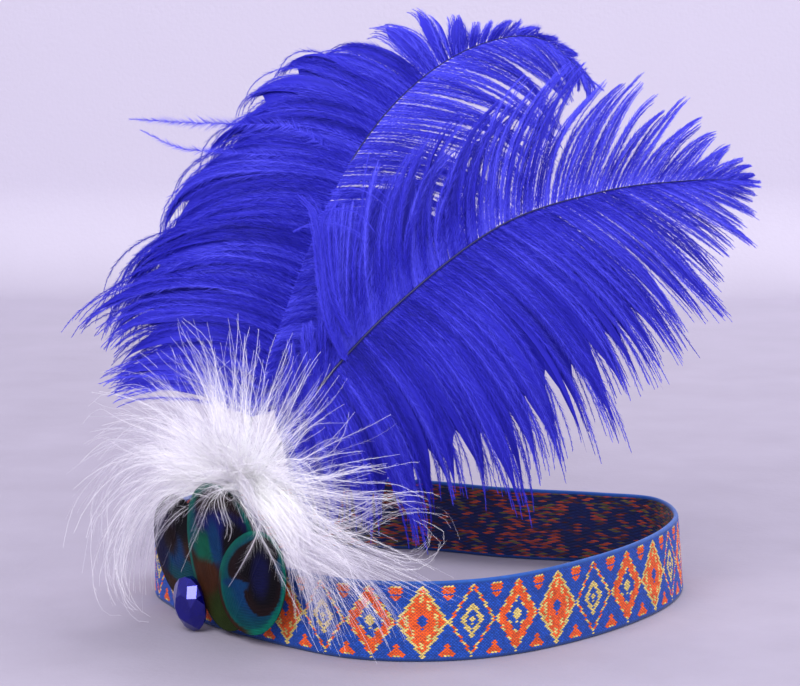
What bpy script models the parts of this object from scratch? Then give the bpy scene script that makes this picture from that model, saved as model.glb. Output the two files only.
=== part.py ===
"""Flapper feather headband: a woven elastic band that stands on its edge, with a felt pad, three
feather petals, a faceted gem, a head of marabou and two long plumes at its front left.

The frame is +X to the right, +Y away, +Z up, and the headband stands on the plane Z = 0.
Sizes and places are in millimetres here and become metres when a mesh is made.
"""
import math

import bmesh
import bpy
import numpy as np
from mathutils import Vector

MM = 0.001

# Where the middle of the loop stands, so that the whole object is centred over the origin
LOOP_X = -2.59
LOOP_Y = 8.01

# Woven elastic band
BAND_HEIGHT = 25.0
BAND_THICK = 1.5
BAND_SECTIONS = 96
# Outer face of the band at the surface it stands on: x, y and how far its top leans out
BAND_ROUTE = (
    (-84.0, 20.0, 0.0),
    (-77.6, -4.0, 0.0),
    (-63.5, -28.6, 0.5),
    (-43.0, -51.0, 1.5),
    (-20.5, -68.4, 3.0),
    (3.0, -72.4, 3.0),
    (25.0, -66.2, 2.0),
    (47.0, -49.6, 0.0),
    (67.0, -26.0, -1.0),
    (81.5, 0.0, -2.0),
    (87.4, 26.0, -2.0),
    (82.0, 51.0, -2.5),
    (62.0, 60.5, -3.0),
    (32.0, 68.5, -3.0),
    (-2.0, 82.0, -2.0),
    (-40.0, 81.0, -1.0),
    (-72.0, 58.0, 0.0),
)
ROUTE_STEPS = 24
# Arc length over which the route's direction is measured, to each side
DIRECTION_REACH = 1.0

# The ornament is placed from the gem: arc lengths run along the band from there, to the right
GEM_ROUTE_POINT = (-65.5, -26.5)
SEAT_GAP = 0.4
LAYER_GAP = 0.3

# Felt pad behind the ornament
PAD_MIDDLE = (14.0, 25.0)
PAD_HALF = (19.0, 21.0)
PAD_THICK = 2.0

# The petals and the gem lean out above the height where they meet the pad, because the marabou
# lies behind them
FAN_LEAN = 0.178
FAN_FOOT = 9.0
# Petals: name, middle along the band, middle height, half length, half width, tilt, taper, layer
PETALS = (
    ("petal_left", -6.0, 25.0, 19.0, 14.0, -32.0, -0.20, 0),
    ("petal_centre", 20.5, 26.0, 24.5, 16.0, -14.0, 0.10, 1),
    ("petal_right", 34.5, 21.3, 20.0, 12.3, -37.0, -0.12, 2),
)
PETAL_THICK = 1.3
PETAL_RINGS = 3
OVAL_SIDES = 28

# Faceted oval gem with a flat back
GEM_PLACE = (4.0, 9.4)
GEM_HALF = (5.8, 8.9)
GEM_BACK = 2.4
GEM_CROWN = 3.6
GEM_FACETS = 8
# Sizes of the table, of the ring where star and kite facets meet, and of the back, as parts of
# the girdle
GEM_TABLE = 0.50
GEM_MID = 0.80
GEM_REAR = 0.90
# Its face is turned to the right from the pad's own, and lifted so that its right edge stays clear
GEM_TURN = 22.0
GEM_LIFT = 1.0

# Marabou: the middle of its head and the head's half sizes along the band, out of it and up
FLUFF_MIDDLE = (27.0, 48.2)
FLUFF_HALF = (14.0, 2.8, 10.5)
# Distance of the middle from the pad's face, on which the head's facets rest
FLUFF_SEAT = 2.1
# Rings of points on a lock, the most of its cone that it fills, its width at the tip, how much
# it swells on the way, and how much the locks differ in length
FLUFF_STEPS = 7
FLUFF_CONE = 0.42
FLUFF_TIP = 0.2
FLUFF_SWELL = 0.6
FLUFF_VARIATION = 0.10
FLUFF_RHYTHM = 2.4
# Locks by where they grow on the head, in degrees from +X towards +Z in the front view: angle of
# the tip, reach of the lock and how far back its tip lies, at the bend's own distance
FLUFF_LOCKS = (
    (-40.0, -52.0, 48.0, -36.0),
    (-26.0, -42.0, 54.0, -38.0),
    (-12.0, -25.0, 56.0, -34.0),
    (4.0, -4.0, 54.0, -26.0),
    (16.0, 12.0, 50.0, -19.0),
    (30.0, 28.0, 48.0, -13.0),
    (60.0, 60.0, 46.0, -4.0),
    (90.0, 90.0, 49.0, 0.0),
    (120.0, 120.0, 50.0, 2.0),
    (145.0, 154.0, 50.0, 8.0),
    (168.0, 196.0, 51.0, 16.0),
    (188.0, 224.0, 54.0, 16.0),
)
# The bend starts at the edge of the head and reaches its table value at this distance
FLUFF_BEND_START = 14.0
FLUFF_BEND_END = 50.0
FLUFF_TURN_POWER = 2.0
# Locks at this height over the middle keep their spread out of the band, and those as far below
# it lose this much of it
FLUFF_LOW = 20.0
FLUFF_FLATTEN = 0.45
# Locks that face the viewer are shorter
FLUFF_FRONT_REACH = 0.1
FLUFF_FRONT_POWER = 4.0
FLUFF_LEAST_SPREAD = 0.7
# The pad lies behind the head, and the petals in front of its lower part
FLUFF_PAD_SIDE = -0.35
FLUFF_PETAL_SIDE = 0.22
FLUFF_PETAL_TOP = 0.55

# Plumes
QUILL_RADIUS = 1.3
VANE_THICK = 2.6
LOCKS = 22
LOCK_FUSED = 0.55
LOCK_ROWS = (0.0, 0.05, 0.30, 0.55, 0.70, 0.85, 1.0)
# Width of a lock at its tip, how late it narrows, and how much the locks differ in length
LOCK_TIP = 0.16
LOCK_TAPER = 1.5
LOCK_VARIATION = 0.07
LOCK_RHYTHM = 2.6
# Thickness of the vane and of the edges of its locks, as parts of the quill's
VANE_FULLNESS = 0.5
LOCK_EDGE_FULLNESS = 0.3
# A barb 70 mm long rises towards the viewer by this much at its middle
BARB_LIFT = 4.0
BARB_LIFT_LENGTH = 70.0
LEAST_BEND = 0.001
QUILL_STEPS = 12
BARE_COLUMNS = 7
BARE_GAP = 0.004
BARE_REACH = 0.01
VANE_START = 0.17

# Quill roots above the band's top edge, behind the pad: place along the band
FRONT_ROOT = 16.0
REAR_ROOT = 10.5
ROOT_HEIGHT = 27.6
ROOT_OUT = -1.8
# Quill curves after the root: x, y, z to the tip
FRONT_QUILL = (
    (-50.6, -40.4, 43.0),
    (-41.3, -39.0, 58.2),
    (-27.5, -33.0, 78.1),
    (-4.4, -25.0, 101.2),
    (26.3, -16.0, 123.4),
    (57.9, -10.0, 133.1),
    (84.0, -6.5, 136.0),
    (101.0, -4.5, 136.0),
)
REAR_QUILL = (
    (-54.6, -35.2, 43.0),
    (-49.3, -28.0, 69.2),
    (-40.6, -12.0, 95.7),
    (-25.5, 10.0, 131.5),
    (-6.9, 25.0, 157.5),
    (15.9, 36.0, 173.9),
    (39.3, 42.0, 177.9),
    (56.7, 44.0, 164.3),
)
# Barbs of each vane: part of the quill, length, first heading, last heading, depth of the tip.
# Headings are degrees in the front view, from +X towards +Z.
FRONT_UPPER = (
    (0.17, 16.0, 114.0, 106.0, 3.0),
    (0.27, 26.0, 104.0, 96.0, 5.0),
    (0.31, 42.0, 100.0, 90.0, 6.0),
    (0.40, 48.0, 108.0, 68.0, 8.0),
    (0.50, 50.0, 108.0, 48.0, 9.0),
    (0.60, 51.0, 100.0, 46.0, 9.0),
    (0.69, 47.0, 90.0, 46.0, 8.0),
    (0.78, 36.0, 76.0, 40.0, 7.0),
    (0.86, 25.0, 66.0, 36.0, 5.0),
    (0.94, 15.0, 46.0, 24.0, 3.0),
    (1.00, 6.0, 15.0, 8.0, 1.0),
)
FRONT_LOWER = (
    (0.17, 26.0, -36.0, -88.0, 4.0),
    (0.27, 45.0, -44.0, -92.0, 6.0),
    (0.35, 61.0, -36.0, -88.0, 7.0),
    (0.45, 72.0, -30.0, -80.0, 8.0),
    (0.52, 73.0, -28.0, -76.0, 9.0),
    (0.60, 71.0, -27.0, -71.0, 9.0),
    (0.69, 65.0, -28.0, -60.0, 8.0),
    (0.78, 50.0, -26.0, -52.0, 7.0),
    (0.86, 35.0, -20.0, -42.0, 5.0),
    (0.94, 19.0, -14.0, -28.0, 3.0),
    (1.00, 6.0, -5.0, -10.0, 1.0),
)
REAR_LEFT = (
    (0.17, 40.0, 148.0, 200.0, 8.0),
    (0.30, 58.0, 152.0, 212.0, 14.0),
    (0.40, 74.0, 158.0, 230.0, 20.0),
    (0.50, 76.0, 163.0, 240.0, 22.0),
    (0.57, 71.0, 157.0, 224.0, 20.0),
    (0.62, 61.0, 152.0, 208.0, 16.0),
    (0.67, 47.0, 146.0, 190.0, 12.0),
    (0.73, 30.0, 138.0, 168.0, 8.0),
    (0.80, 14.0, 120.0, 136.0, 5.0),
    (0.87, 5.0, 80.0, 50.0, 3.0),
    (0.94, 5.0, 10.0, -20.0, 2.0),
    (1.00, 8.0, -50.0, -66.0, 0.0),
)
REAR_RIGHT = (
    (0.17, 20.0, 24.0, -20.0, 10.0),
    (0.30, 34.0, 16.0, -35.0, 14.0),
    (0.40, 46.0, 12.0, -45.0, 16.0),
    (0.50, 54.0, 8.0, -45.0, 14.0),
    (0.60, 58.0, 4.0, -42.0, 12.0),
    (0.67, 56.0, 0.0, -42.0, 10.0),
    (0.74, 48.0, -6.0, -46.0, 8.0),
    (0.80, 38.0, -14.0, -52.0, 6.0),
    (0.86, 28.0, -24.0, -60.0, 4.0),
    (0.93, 15.0, -48.0, -74.0, 2.0),
    (1.00, 7.0, -74.0, -84.0, 0.0),
)


def smooth_curve(points, steps, closed=False):
    """Points of a Catmull-Rom curve through the given ones: between two of them it is the cubic
    whose slope at each is half the step from the point before to the point after."""
    points = np.asarray(points, dtype=float)
    count = len(points)
    if closed:
        before, start, end, after = (np.roll(points, shift, axis=0) for shift in (1, 0, -1, -2))
    else:
        padded = np.vstack((2 * points[0] - points[1], points, 2 * points[-1] - points[-2]))
        before, start, end, after = (padded[i:i + count - 1] for i in range(4))
    t = (np.arange(steps) / steps)[None, :, None]
    p0, p1, p2, p3 = (row[:, None, :] for row in (before, start, end, after))
    curve = 0.5 * (2 * p1 + (p2 - p0) * t + (2 * p0 - 5 * p1 + 4 * p2 - p3) * t ** 2
                   + (3 * p1 - p0 - 3 * p2 + p3) * t ** 3)
    curve = curve.reshape(-1, points.shape[1])
    return curve if closed else np.vstack((curve, points[-1]))


def arc_lengths(curve):
    """Distance along a line of points, starting at nought."""
    steps = np.linalg.norm(np.diff(curve, axis=0), axis=1)
    return np.concatenate(([0.0], np.cumsum(steps)))


class BandRoute:
    """The band's outer face as a closed curve, read by the arc length from the gem."""

    def __init__(self):
        curve = smooth_curve(BAND_ROUTE, ROUTE_STEPS, closed=True)
        curve = np.vstack((curve, curve[0]))
        self.curve = curve
        self.along = arc_lengths(curve[:, :2])
        self.length = self.along[-1]
        nearest = np.argmin(np.linalg.norm(curve[:, :2] - GEM_ROUTE_POINT, axis=1))
        self.gem_along = self.along[nearest]

    def read(self, along):
        """Outer face's x, y and lean at an arc length, and the outward direction there."""
        here = np.mod(np.asarray(along, dtype=float) + self.gem_along, self.length)
        row = np.stack([np.interp(here, self.along, self.curve[:, i]) for i in range(3)], axis=-1)
        ahead = np.mod(here + DIRECTION_REACH, self.length)
        behind = np.mod(here - DIRECTION_REACH, self.length)
        step_x = np.interp(ahead, self.along, self.curve[:, 0])
        step_x = step_x - np.interp(behind, self.along, self.curve[:, 0])
        step_y = np.interp(ahead, self.along, self.curve[:, 1])
        step_y = step_y - np.interp(behind, self.along, self.curve[:, 1])
        size = np.hypot(step_x, step_y)
        return row, np.stack((step_y / size, -step_x / size), axis=-1)

    def point(self, along, height, out):
        """The point at a height, so far out of the band's outer face."""
        row, outward = self.read(along)
        height = np.asarray(height, dtype=float)
        shift = row[..., 2] * height / BAND_HEIGHT + out
        flat = row[..., :2] + outward * np.asarray(shift)[..., None]
        return np.concatenate((flat, (height + 0.0 * shift)[..., None]), axis=-1)


def make_object(name, verts, faces, smooth_angle):
    """A mesh object from points in millimetres, with its faces turned outwards."""
    mesh = bpy.data.meshes.new(name)
    points = (np.asarray(verts, dtype=float) + (LOOP_X, LOOP_Y, 0.0)) * MM
    mesh.from_pydata(points.tolist(), [], faces)
    shape = bmesh.new()
    shape.from_mesh(mesh)
    bmesh.ops.recalc_face_normals(shape, faces=shape.faces)
    shape.to_mesh(mesh)
    shape.free()
    mesh.shade_smooth()
    mesh.set_sharp_from_angle(angle=math.radians(smooth_angle))
    piece = bpy.data.objects.new(name, mesh)
    bpy.context.scene.collection.objects.link(piece)
    return piece


def paint(piece, label, colour, roughness, metallic=0.0):
    """Give a piece a material of its own."""
    material = bpy.data.materials.new(label)
    material.use_nodes = True
    shader = material.node_tree.nodes["Principled BSDF"]
    shader.inputs["Base Color"].default_value = (*colour, 1.0)
    shader.inputs["Roughness"].default_value = roughness
    shader.inputs["Metallic"].default_value = metallic
    piece.data.materials.append(material)


def build_band(route):
    """The band: a flat strip on edge, carried round its closed route."""
    along = np.arange(BAND_SECTIONS) * route.length / BAND_SECTIONS
    corners = ((0.0, 0.0), (BAND_HEIGHT, 0.0), (BAND_HEIGHT, -BAND_THICK), (0.0, -BAND_THICK))
    rings = [route.point(along, np.full(BAND_SECTIONS, z), out) for z, out in corners]
    verts = np.stack(rings, axis=1).reshape(-1, 3)
    faces = []
    for section in range(BAND_SECTIONS):
        here = section * len(corners)
        there = (section + 1) % BAND_SECTIONS * len(corners)
        for i in range(len(corners)):
            j = (i + 1) % len(corners)
            faces.append((here + i, here + j, there + j, there + i))
    band = make_object("band", verts, faces, 40.0)
    paint(band, "woven_elastic", (0.10, 0.16, 0.55), 0.75)


def disc_on_band(route, outline, rings, back, front):
    """A closed disc bent round the band. outline gives the edge's places along and up, back and
    front give how far out the two faces are at a height."""
    middle = outline.mean(axis=0)
    sides = len(outline)
    verts = []
    for face in (back, front):
        verts.append(route.point(middle[0], middle[1], face(middle[1]))[None])
        for ring in range(1, rings + 1):
            part = ring / rings
            place = middle + (outline - middle) * part
            verts.append(route.point(place[:, 0], place[:, 1], face(place[:, 1])))
    verts = np.vstack(verts)
    face_size = 1 + rings * sides
    faces = []
    for layer in (0, face_size):
        for i in range(sides):
            j = (i + 1) % sides
            faces.append((layer, layer + 1 + i, layer + 1 + j))
            for ring in range(rings - 1):
                inner = layer + 1 + ring * sides
                outer = inner + sides
                faces.append((inner + i, outer + i, outer + j, inner + j))
    edge = 1 + (rings - 1) * sides
    for i in range(sides):
        j = (i + 1) % sides
        faces.append((edge + i, edge + j, face_size + edge + j, face_size + edge + i))
    return verts, faces


def build_pad(route):
    """The felt pad: an upright oval against the band's outer face."""
    turn = np.linspace(0.0, 2 * math.pi, OVAL_SIDES, endpoint=False)
    outline = np.stack((PAD_MIDDLE[0] + PAD_HALF[0] * np.cos(turn),
                        PAD_MIDDLE[1] + PAD_HALF[1] * np.sin(turn)), axis=1)
    verts, faces = disc_on_band(route, outline, PETAL_RINGS,
                                lambda z: SEAT_GAP + 0.0 * z,
                                lambda z: SEAT_GAP + PAD_THICK + 0.0 * z)
    pad = make_object("backing_pad", verts, faces, 40.0)
    paint(pad, "navy_felt", (0.02, 0.03, 0.12), 0.95)


def petal_outline(middle, half_length, half_width, tilt, taper):
    """An egg: an ellipse whose sides spread towards one end by the taper."""
    turn = np.linspace(0.0, 2 * math.pi, OVAL_SIDES, endpoint=False)
    up = half_length * np.sin(turn)
    side = half_width * np.cos(turn) * (1.0 + taper * np.sin(turn))
    angle = math.radians(tilt)
    return np.stack((middle[0] + side * math.cos(angle) - up * math.sin(angle),
                     middle[1] + side * math.sin(angle) + up * math.cos(angle)), axis=1)


def fan_seat(layer, height):
    """How far out of the band a layer of the fan starts, at a height."""
    seat = SEAT_GAP + PAD_THICK + LAYER_GAP + layer * (PETAL_THICK + LAYER_GAP)
    return seat + FAN_LEAN * (height - FAN_FOOT)


def build_petal(route, name, along, height, half_length, half_width, tilt, taper, layer):
    """A petal: an egg of feather on felt, bent round the band and leaning out."""
    outline = petal_outline((along, height), half_length, half_width, tilt, taper)
    verts, faces = disc_on_band(route, outline, PETAL_RINGS,
                                lambda z: fan_seat(layer, z),
                                lambda z: fan_seat(layer, z) + PETAL_THICK)
    petal = make_object(name, verts, faces, 40.0)
    paint(petal, name + "_feather", (0.02, 0.08, 0.12), 0.45)


def build_gem(route):
    """The gem: table, star, kite and girdle facets over a flat back, stretched to an oval."""
    seat = fan_seat(2, GEM_PLACE[1])
    half_step = math.pi / GEM_FACETS
    part = (GEM_MID * math.cos(half_step) - GEM_TABLE) / (1.0 - GEM_TABLE)
    mid_height = GEM_BACK + GEM_CROWN * (1.0 - part)
    rings = (
        (GEM_TABLE, GEM_BACK + GEM_CROWN, GEM_FACETS, 0.0),
        (GEM_MID, mid_height, GEM_FACETS, half_step),
        (1.0, GEM_BACK, 2 * GEM_FACETS, 0.0),
        (GEM_REAR, 0.0, 2 * GEM_FACETS, 0.0),
    )
    centre = route.point(GEM_PLACE[0], GEM_PLACE[1], seat)
    flat = np.append(route.read(GEM_PLACE[0])[1], 0.0)
    lean = math.atan(FAN_LEAN)
    upward = np.array((0.0, 0.0, math.cos(lean))) + flat * math.sin(lean)
    outward = flat * math.cos(lean) - np.array((0.0, 0.0, math.sin(lean)))
    sideways = np.array((-flat[1], flat[0], 0.0))
    face_turn = math.radians(GEM_TURN)
    face_outward = outward * math.cos(face_turn) + sideways * math.sin(face_turn)
    face_sideways = sideways * math.cos(face_turn) - outward * math.sin(face_turn)
    verts = []
    for scale, out, count, shift in rings:
        turn = np.arange(count) * 2 * math.pi / count + shift
        side = GEM_HALF[0] * scale * np.cos(turn)
        up = GEM_HALF[1] * scale * np.sin(turn)
        if out > 0.0:
            ring = (centre + GEM_LIFT * outward + side[:, None] * face_sideways
                    + up[:, None] * upward + out * face_outward)
        else:
            ring = centre + side[:, None] * sideways + up[:, None] * upward
        verts.append(ring)
    table, mid, girdle, back = (int(n) for n in np.cumsum((0, GEM_FACETS, GEM_FACETS, 2 * GEM_FACETS)))
    faces = [tuple(range(table, table + GEM_FACETS))]
    for i in range(GEM_FACETS):
        j = (i + 1) % GEM_FACETS
        before = (i - 1) % GEM_FACETS
        faces.append((table + i, table + j, mid + i))
        faces.append((table + i, mid + before, girdle + 2 * i, mid + i))
        faces.append((mid + i, girdle + 2 * i, girdle + 2 * i + 1))
        faces.append((mid + i, girdle + 2 * i + 1, girdle + 2 * j))
    for i in range(2 * GEM_FACETS):
        j = (i + 1) % (2 * GEM_FACETS)
        faces.append((girdle + i, girdle + j, back + j, back + i))
    faces.append(tuple(range(back, back + 2 * GEM_FACETS)))
    gem = make_object("gem", np.vstack(verts), faces, 5.0)
    paint(gem, "blue_gem", (0.02, 0.02, 0.45), 0.08)


def read_locks(grows):
    """Rows of the table of locks at angles on the head."""
    table = np.array(FLUFF_LOCKS)
    return [np.interp(grows, table[:, 0], table[:, i]) for i in (1, 2, 3)]


def angle_on_head(x, z):
    """Degrees from +X towards +Z in the front view, counted on past 180 on the lower left."""
    turn = np.degrees(np.arctan2(z, x))
    return np.where(turn < -90.0, turn + 360.0, turn)


def bend_locks(points, outward):
    """Bend straight locks that stand round the origin. The low ones first come closer to the
    plane of the head. In the front view a point turns about the origin towards its lock's own
    angle, and it sinks back by its lock's own depth, while the locks turn from the band's own
    line to the front view's plane. Where the locks don't cross before, they don't cross after."""
    ahead = points @ outward
    side = points - ahead[:, None] * outward
    near = np.clip(np.linalg.norm(side, axis=1) / FLUFF_BEND_END, 0.0, 1.0)
    low = np.clip((FLUFF_LOW - side[:, 2]) / (2.0 * FLUFF_LOW), 0.0, 1.0)
    x, y, z = (side + (ahead * (1.0 - FLUFF_FLATTEN * near * low))[:, None] * outward).T
    slope = -outward[0] / outward[1]
    spread = np.hypot(x, z)
    grows = angle_on_head(x, z)
    angle, _, depth = read_locks(grows)
    part = np.maximum(spread - FLUFF_BEND_START, 0.0) / (FLUFF_BEND_END - FLUFF_BEND_START)
    inside = (grows > FLUFF_LOCKS[0][0]) & (grows < FLUFF_LOCKS[-1][0])
    swing = np.where(inside, angle - grows, 0.0) * part ** FLUFF_TURN_POWER
    turned = np.radians(grows + swing)
    near = np.minimum(part, 1.0)
    back = depth * near ** 2 * (3.0 - 2.0 * near) - slope * x * near
    return np.stack((spread * np.cos(turned), y + back, spread * np.sin(turned)), axis=1)


def build_marabou(route):
    """The marabou: a flattened head whose faces are drawn straight out into tapering locks, each
    inside its own cone from the middle, and then bent."""
    seat = SEAT_GAP + PAD_THICK + FLUFF_SEAT
    centre = route.point(FLUFF_MIDDLE[0], FLUFF_MIDDLE[1], seat)
    outward = Vector((*route.read(FLUFF_MIDDLE[0])[1], 0.0))
    sideways = Vector((-outward.y, outward.x, 0.0))
    shape = bmesh.new()
    bmesh.ops.create_icosphere(shape, subdivisions=2, radius=1.0)
    for vert in shape.verts:
        side, out, up = (a * b for a, b in zip(vert.co, FLUFF_HALF))
        vert.co = sideways * side + outward * out + Vector((0.0, 0.0, up))
    for number, face in enumerate(list(shape.faces)):
        root = face.calc_center_median()
        away = root.normalized()
        facing = away.dot(outward)
        if facing < FLUFF_PAD_SIDE or (facing > FLUFF_PETAL_SIDE and away.z < FLUFF_PETAL_TOP):
            continue
        grows = float(angle_on_head(away.x, away.z))
        if not FLUFF_LOCKS[0][0] < grows < FLUFF_LOCKS[-1][0]:
            continue
        edge_on = math.sqrt(1.0 - facing ** 2)
        reach = float(read_locks(grows)[1]) / max(math.hypot(away.x, away.z), FLUFF_LEAST_SPREAD)
        reach *= FLUFF_FRONT_REACH + (1.0 - FLUFF_FRONT_REACH) * edge_on ** FLUFF_FRONT_POWER
        reach *= 1.0 + FLUFF_VARIATION * math.sin(FLUFF_RHYTHM * number)
        start = [vert.co - root for vert in face.verts]
        for step in range(1, FLUFF_STEPS + 1):
            part = step / FLUFF_STEPS
            distance = root.length + (reach - root.length) * part
            width = 1.0 + (FLUFF_TIP - 1.0) * part + FLUFF_SWELL * math.sin(math.pi * part)
            width = min(width, FLUFF_CONE * distance / root.length)
            made = bmesh.ops.extrude_discrete_faces(shape, faces=[face])
            face = made["faces"][0]
            for vert, arm in zip(face.verts, start):
                vert.co = away * distance + arm * width
    shape.verts.index_update()
    verts = bend_locks(np.array([tuple(vert.co) for vert in shape.verts]), np.array(outward))
    faces = [tuple(vert.index for vert in face.verts) for face in shape.faces]
    shape.free()
    marabou = make_object("marabou", centre + verts, faces, 60.0)
    paint(marabou, "white_marabou", (0.86, 0.84, 0.92), 0.85)


def barb_points(quill, along, vane, part):
    """Points on the barbs of a vane. A barb starts on the quill and is an arc in the front view,
    whose heading turns evenly from its first value to its last, and it sinks back to its tip."""
    length, first, last, depth = (np.interp(along, vane[:, 0], vane[:, i]) for i in range(1, 5))
    first, last = np.radians(first), np.radians(last)
    bend = last - first
    bend = np.where(np.abs(bend) < LEAST_BEND, LEAST_BEND, bend)
    now = first + bend * part
    root = quill(along)
    x = root[:, 0] + length * (np.sin(now) - np.sin(first)) / bend
    z = root[:, 2] + length * (np.cos(first) - np.cos(now)) / bend
    lift = BARB_LIFT * length / BARB_LIFT_LENGTH
    y = root[:, 1] + depth * part ** 2 - lift * np.sin(math.pi * part)
    return np.stack((x, y, z), axis=1)


def build_plume(route, name, label, root, quill_points, vanes):
    """A plume: a quill with a vane on each side, cut into locks at its outer edge. It is one
    sheet, and its thickness is fullest on the quill and least at the edges of the locks."""
    start = route.point(root, ROOT_HEIGHT, ROOT_OUT)
    curve = smooth_curve(np.vstack((start, quill_points)), QUILL_STEPS)
    lengths = arc_lengths(curve)

    def quill(along):
        here = np.asarray(along, dtype=float) * lengths[-1]
        return np.stack([np.interp(here, lengths, curve[:, i]) for i in range(3)], axis=1)

    bare = np.linspace(0.0, VANE_START - BARE_GAP, BARE_COLUMNS)
    feathered = np.linspace(VANE_START, 1.0, 2 * LOCKS + 1)
    along = np.concatenate((bare, feathered))
    columns = len(along)
    step = feathered[2] - feathered[0]
    verts = [quill(along)]
    weights = [np.ones(columns)]
    faces = []
    count = columns
    for side, vane in zip((1.0, -1.0), vanes):
        vane = np.array(vane)
        rows = [np.arange(columns)]
        for part in LOCK_ROWS[1:]:
            if part <= LOCK_FUSED:
                points = barb_points(quill, along, vane, np.full(columns, part))
                bare_quill = quill(bare)
                ahead = quill(bare + BARE_REACH) - bare_quill
                across = np.stack((-ahead[:, 2], 0 * ahead[:, 0], ahead[:, 0]), axis=1)
                across /= np.linalg.norm(across, axis=1)[:, None]
                reach = side * QUILL_RADIUS * part / LOCK_FUSED
                points[:BARE_COLUMNS] = bare_quill + across * reach
                verts.append(points)
                weights.append(np.full(columns, VANE_FULLNESS))
                rows.append(np.arange(count, count + columns))
                count += columns
                faces += strip(rows[-2], rows[-1])
        free = [part for part in LOCK_ROWS if part > LOCK_FUSED]
        for lock in range(LOCKS):
            left = BARE_COLUMNS + 2 * lock
            last_row = rows[-1][left:left + 3]
            middle = along[left + 1]
            longer = 1.0 + LOCK_VARIATION * math.sin(LOCK_RHYTHM * lock + side)
            for part in free:
                way = (part - LOCK_FUSED) / (1.0 - LOCK_FUSED)
                width = 0.5 * step * (1.0 - (1.0 - LOCK_TIP) * way ** LOCK_TAPER)
                across = middle + np.array((-width, 0.0, width))
                reach = LOCK_FUSED + (part - LOCK_FUSED) * longer
                verts.append(barb_points(quill, across, vane, np.full(3, reach)))
                weights.append(np.array((LOCK_EDGE_FULLNESS, VANE_FULLNESS, LOCK_EDGE_FULLNESS)))
                row = np.arange(count, count + 3)
                count += 3
                faces += strip(last_row, row)
                last_row = row
    plume = make_object(name, np.vstack(verts), faces, 50.0)
    group = plume.vertex_groups.new(name="fullness")
    for index, weight in enumerate(np.concatenate(weights)):
        group.add([index], float(weight), "REPLACE")
    wall = plume.modifiers.new("wall", "SOLIDIFY")
    wall.thickness = VANE_THICK * MM
    wall.offset = 0.0
    wall.vertex_group = group.name
    paint(plume, label, (0.05, 0.04, 0.62), 0.8)


def strip(first, second):
    """Faces between two rows of points."""
    return [(int(first[i]), int(first[i + 1]), int(second[i + 1]), int(second[i]))
            for i in range(len(first) - 1)]


def clear_scene():
    """Take away what the scene holds."""
    for item in list(bpy.data.objects):
        bpy.data.objects.remove(item, do_unlink=True)


def main():
    clear_scene()
    route = BandRoute()
    build_band(route)
    build_pad(route)
    for row in PETALS:
        build_petal(route, *row)
    build_gem(route)
    build_marabou(route)
    build_plume(route, "plume_front", "front_plume_blue",
                FRONT_ROOT, FRONT_QUILL, (FRONT_UPPER, FRONT_LOWER))
    build_plume(route, "plume_rear", "rear_plume_blue",
                REAR_ROOT, REAR_QUILL, (REAR_LEFT, REAR_RIGHT))


main()
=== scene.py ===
"""Looks of a flapper feather headband: two ostrich plumes, a fan of marabou, three eyed feather
petals with a faceted gem on a felt pad, and a woven elastic band that stands on its edge.

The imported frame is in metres. The tables here repeat the source's own: they are in millimetres,
and SHIFT and MM carry them to the frame.
"""

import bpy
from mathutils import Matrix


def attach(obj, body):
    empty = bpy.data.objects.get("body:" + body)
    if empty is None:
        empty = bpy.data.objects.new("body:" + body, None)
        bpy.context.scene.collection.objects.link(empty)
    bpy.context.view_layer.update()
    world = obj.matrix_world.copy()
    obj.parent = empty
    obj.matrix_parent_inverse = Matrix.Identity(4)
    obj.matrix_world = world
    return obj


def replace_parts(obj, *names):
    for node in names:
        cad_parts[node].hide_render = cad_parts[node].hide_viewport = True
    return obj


bl_info = {
    "name": "Feather Headband",
    "version": (1, 0, 0),
    "blender": (4, 5, 0),
    "location": "View3D > Sidebar > Headband",
    "description": "Dresses the headband's packed frame with feathers, woven threads and a gem",
    "category": "Object",
}

import math

import bpy
import numpy as np
from bpy.props import FloatProperty, FloatVectorProperty, IntProperty, PointerProperty

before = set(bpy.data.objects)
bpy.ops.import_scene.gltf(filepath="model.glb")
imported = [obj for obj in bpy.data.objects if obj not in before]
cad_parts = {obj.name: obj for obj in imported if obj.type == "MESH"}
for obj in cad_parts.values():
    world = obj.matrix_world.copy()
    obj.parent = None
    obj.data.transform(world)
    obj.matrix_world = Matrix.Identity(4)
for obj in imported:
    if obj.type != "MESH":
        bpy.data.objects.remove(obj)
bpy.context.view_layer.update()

MM = 0.001
SHIFT = np.array((-2.59, 8.01, 0.0))
TOWARDS_VIEWER = np.array((0.0, -1.0, 0.0))
UPWARD = np.array((0.0, 0.0, 1.0))

# Band: outer face where it stands, as x, y and the outward lean of its top
BAND_HEIGHT = 25.0
BAND_ROUTE = (
    (-84.0, 20.0, 0.0), (-77.6, -4.0, 0.0), (-63.5, -28.6, 0.5), (-43.0, -51.0, 1.5),
    (-20.5, -68.4, 3.0), (3.0, -72.4, 3.0), (25.0, -66.2, 2.0), (47.0, -49.6, 0.0),
    (67.0, -26.0, -1.0), (81.5, 0.0, -2.0), (87.4, 26.0, -2.0), (82.0, 51.0, -2.5),
    (62.0, 60.5, -3.0), (32.0, 68.5, -3.0), (-2.0, 82.0, -2.0), (-40.0, 81.0, -1.0),
    (-72.0, 58.0, 0.0),
)
ROUTE_STEPS = 24
DIRECTION_STEP = 1.0
GEM_ROUTE_POINT = (-65.5, -26.5)

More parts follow.
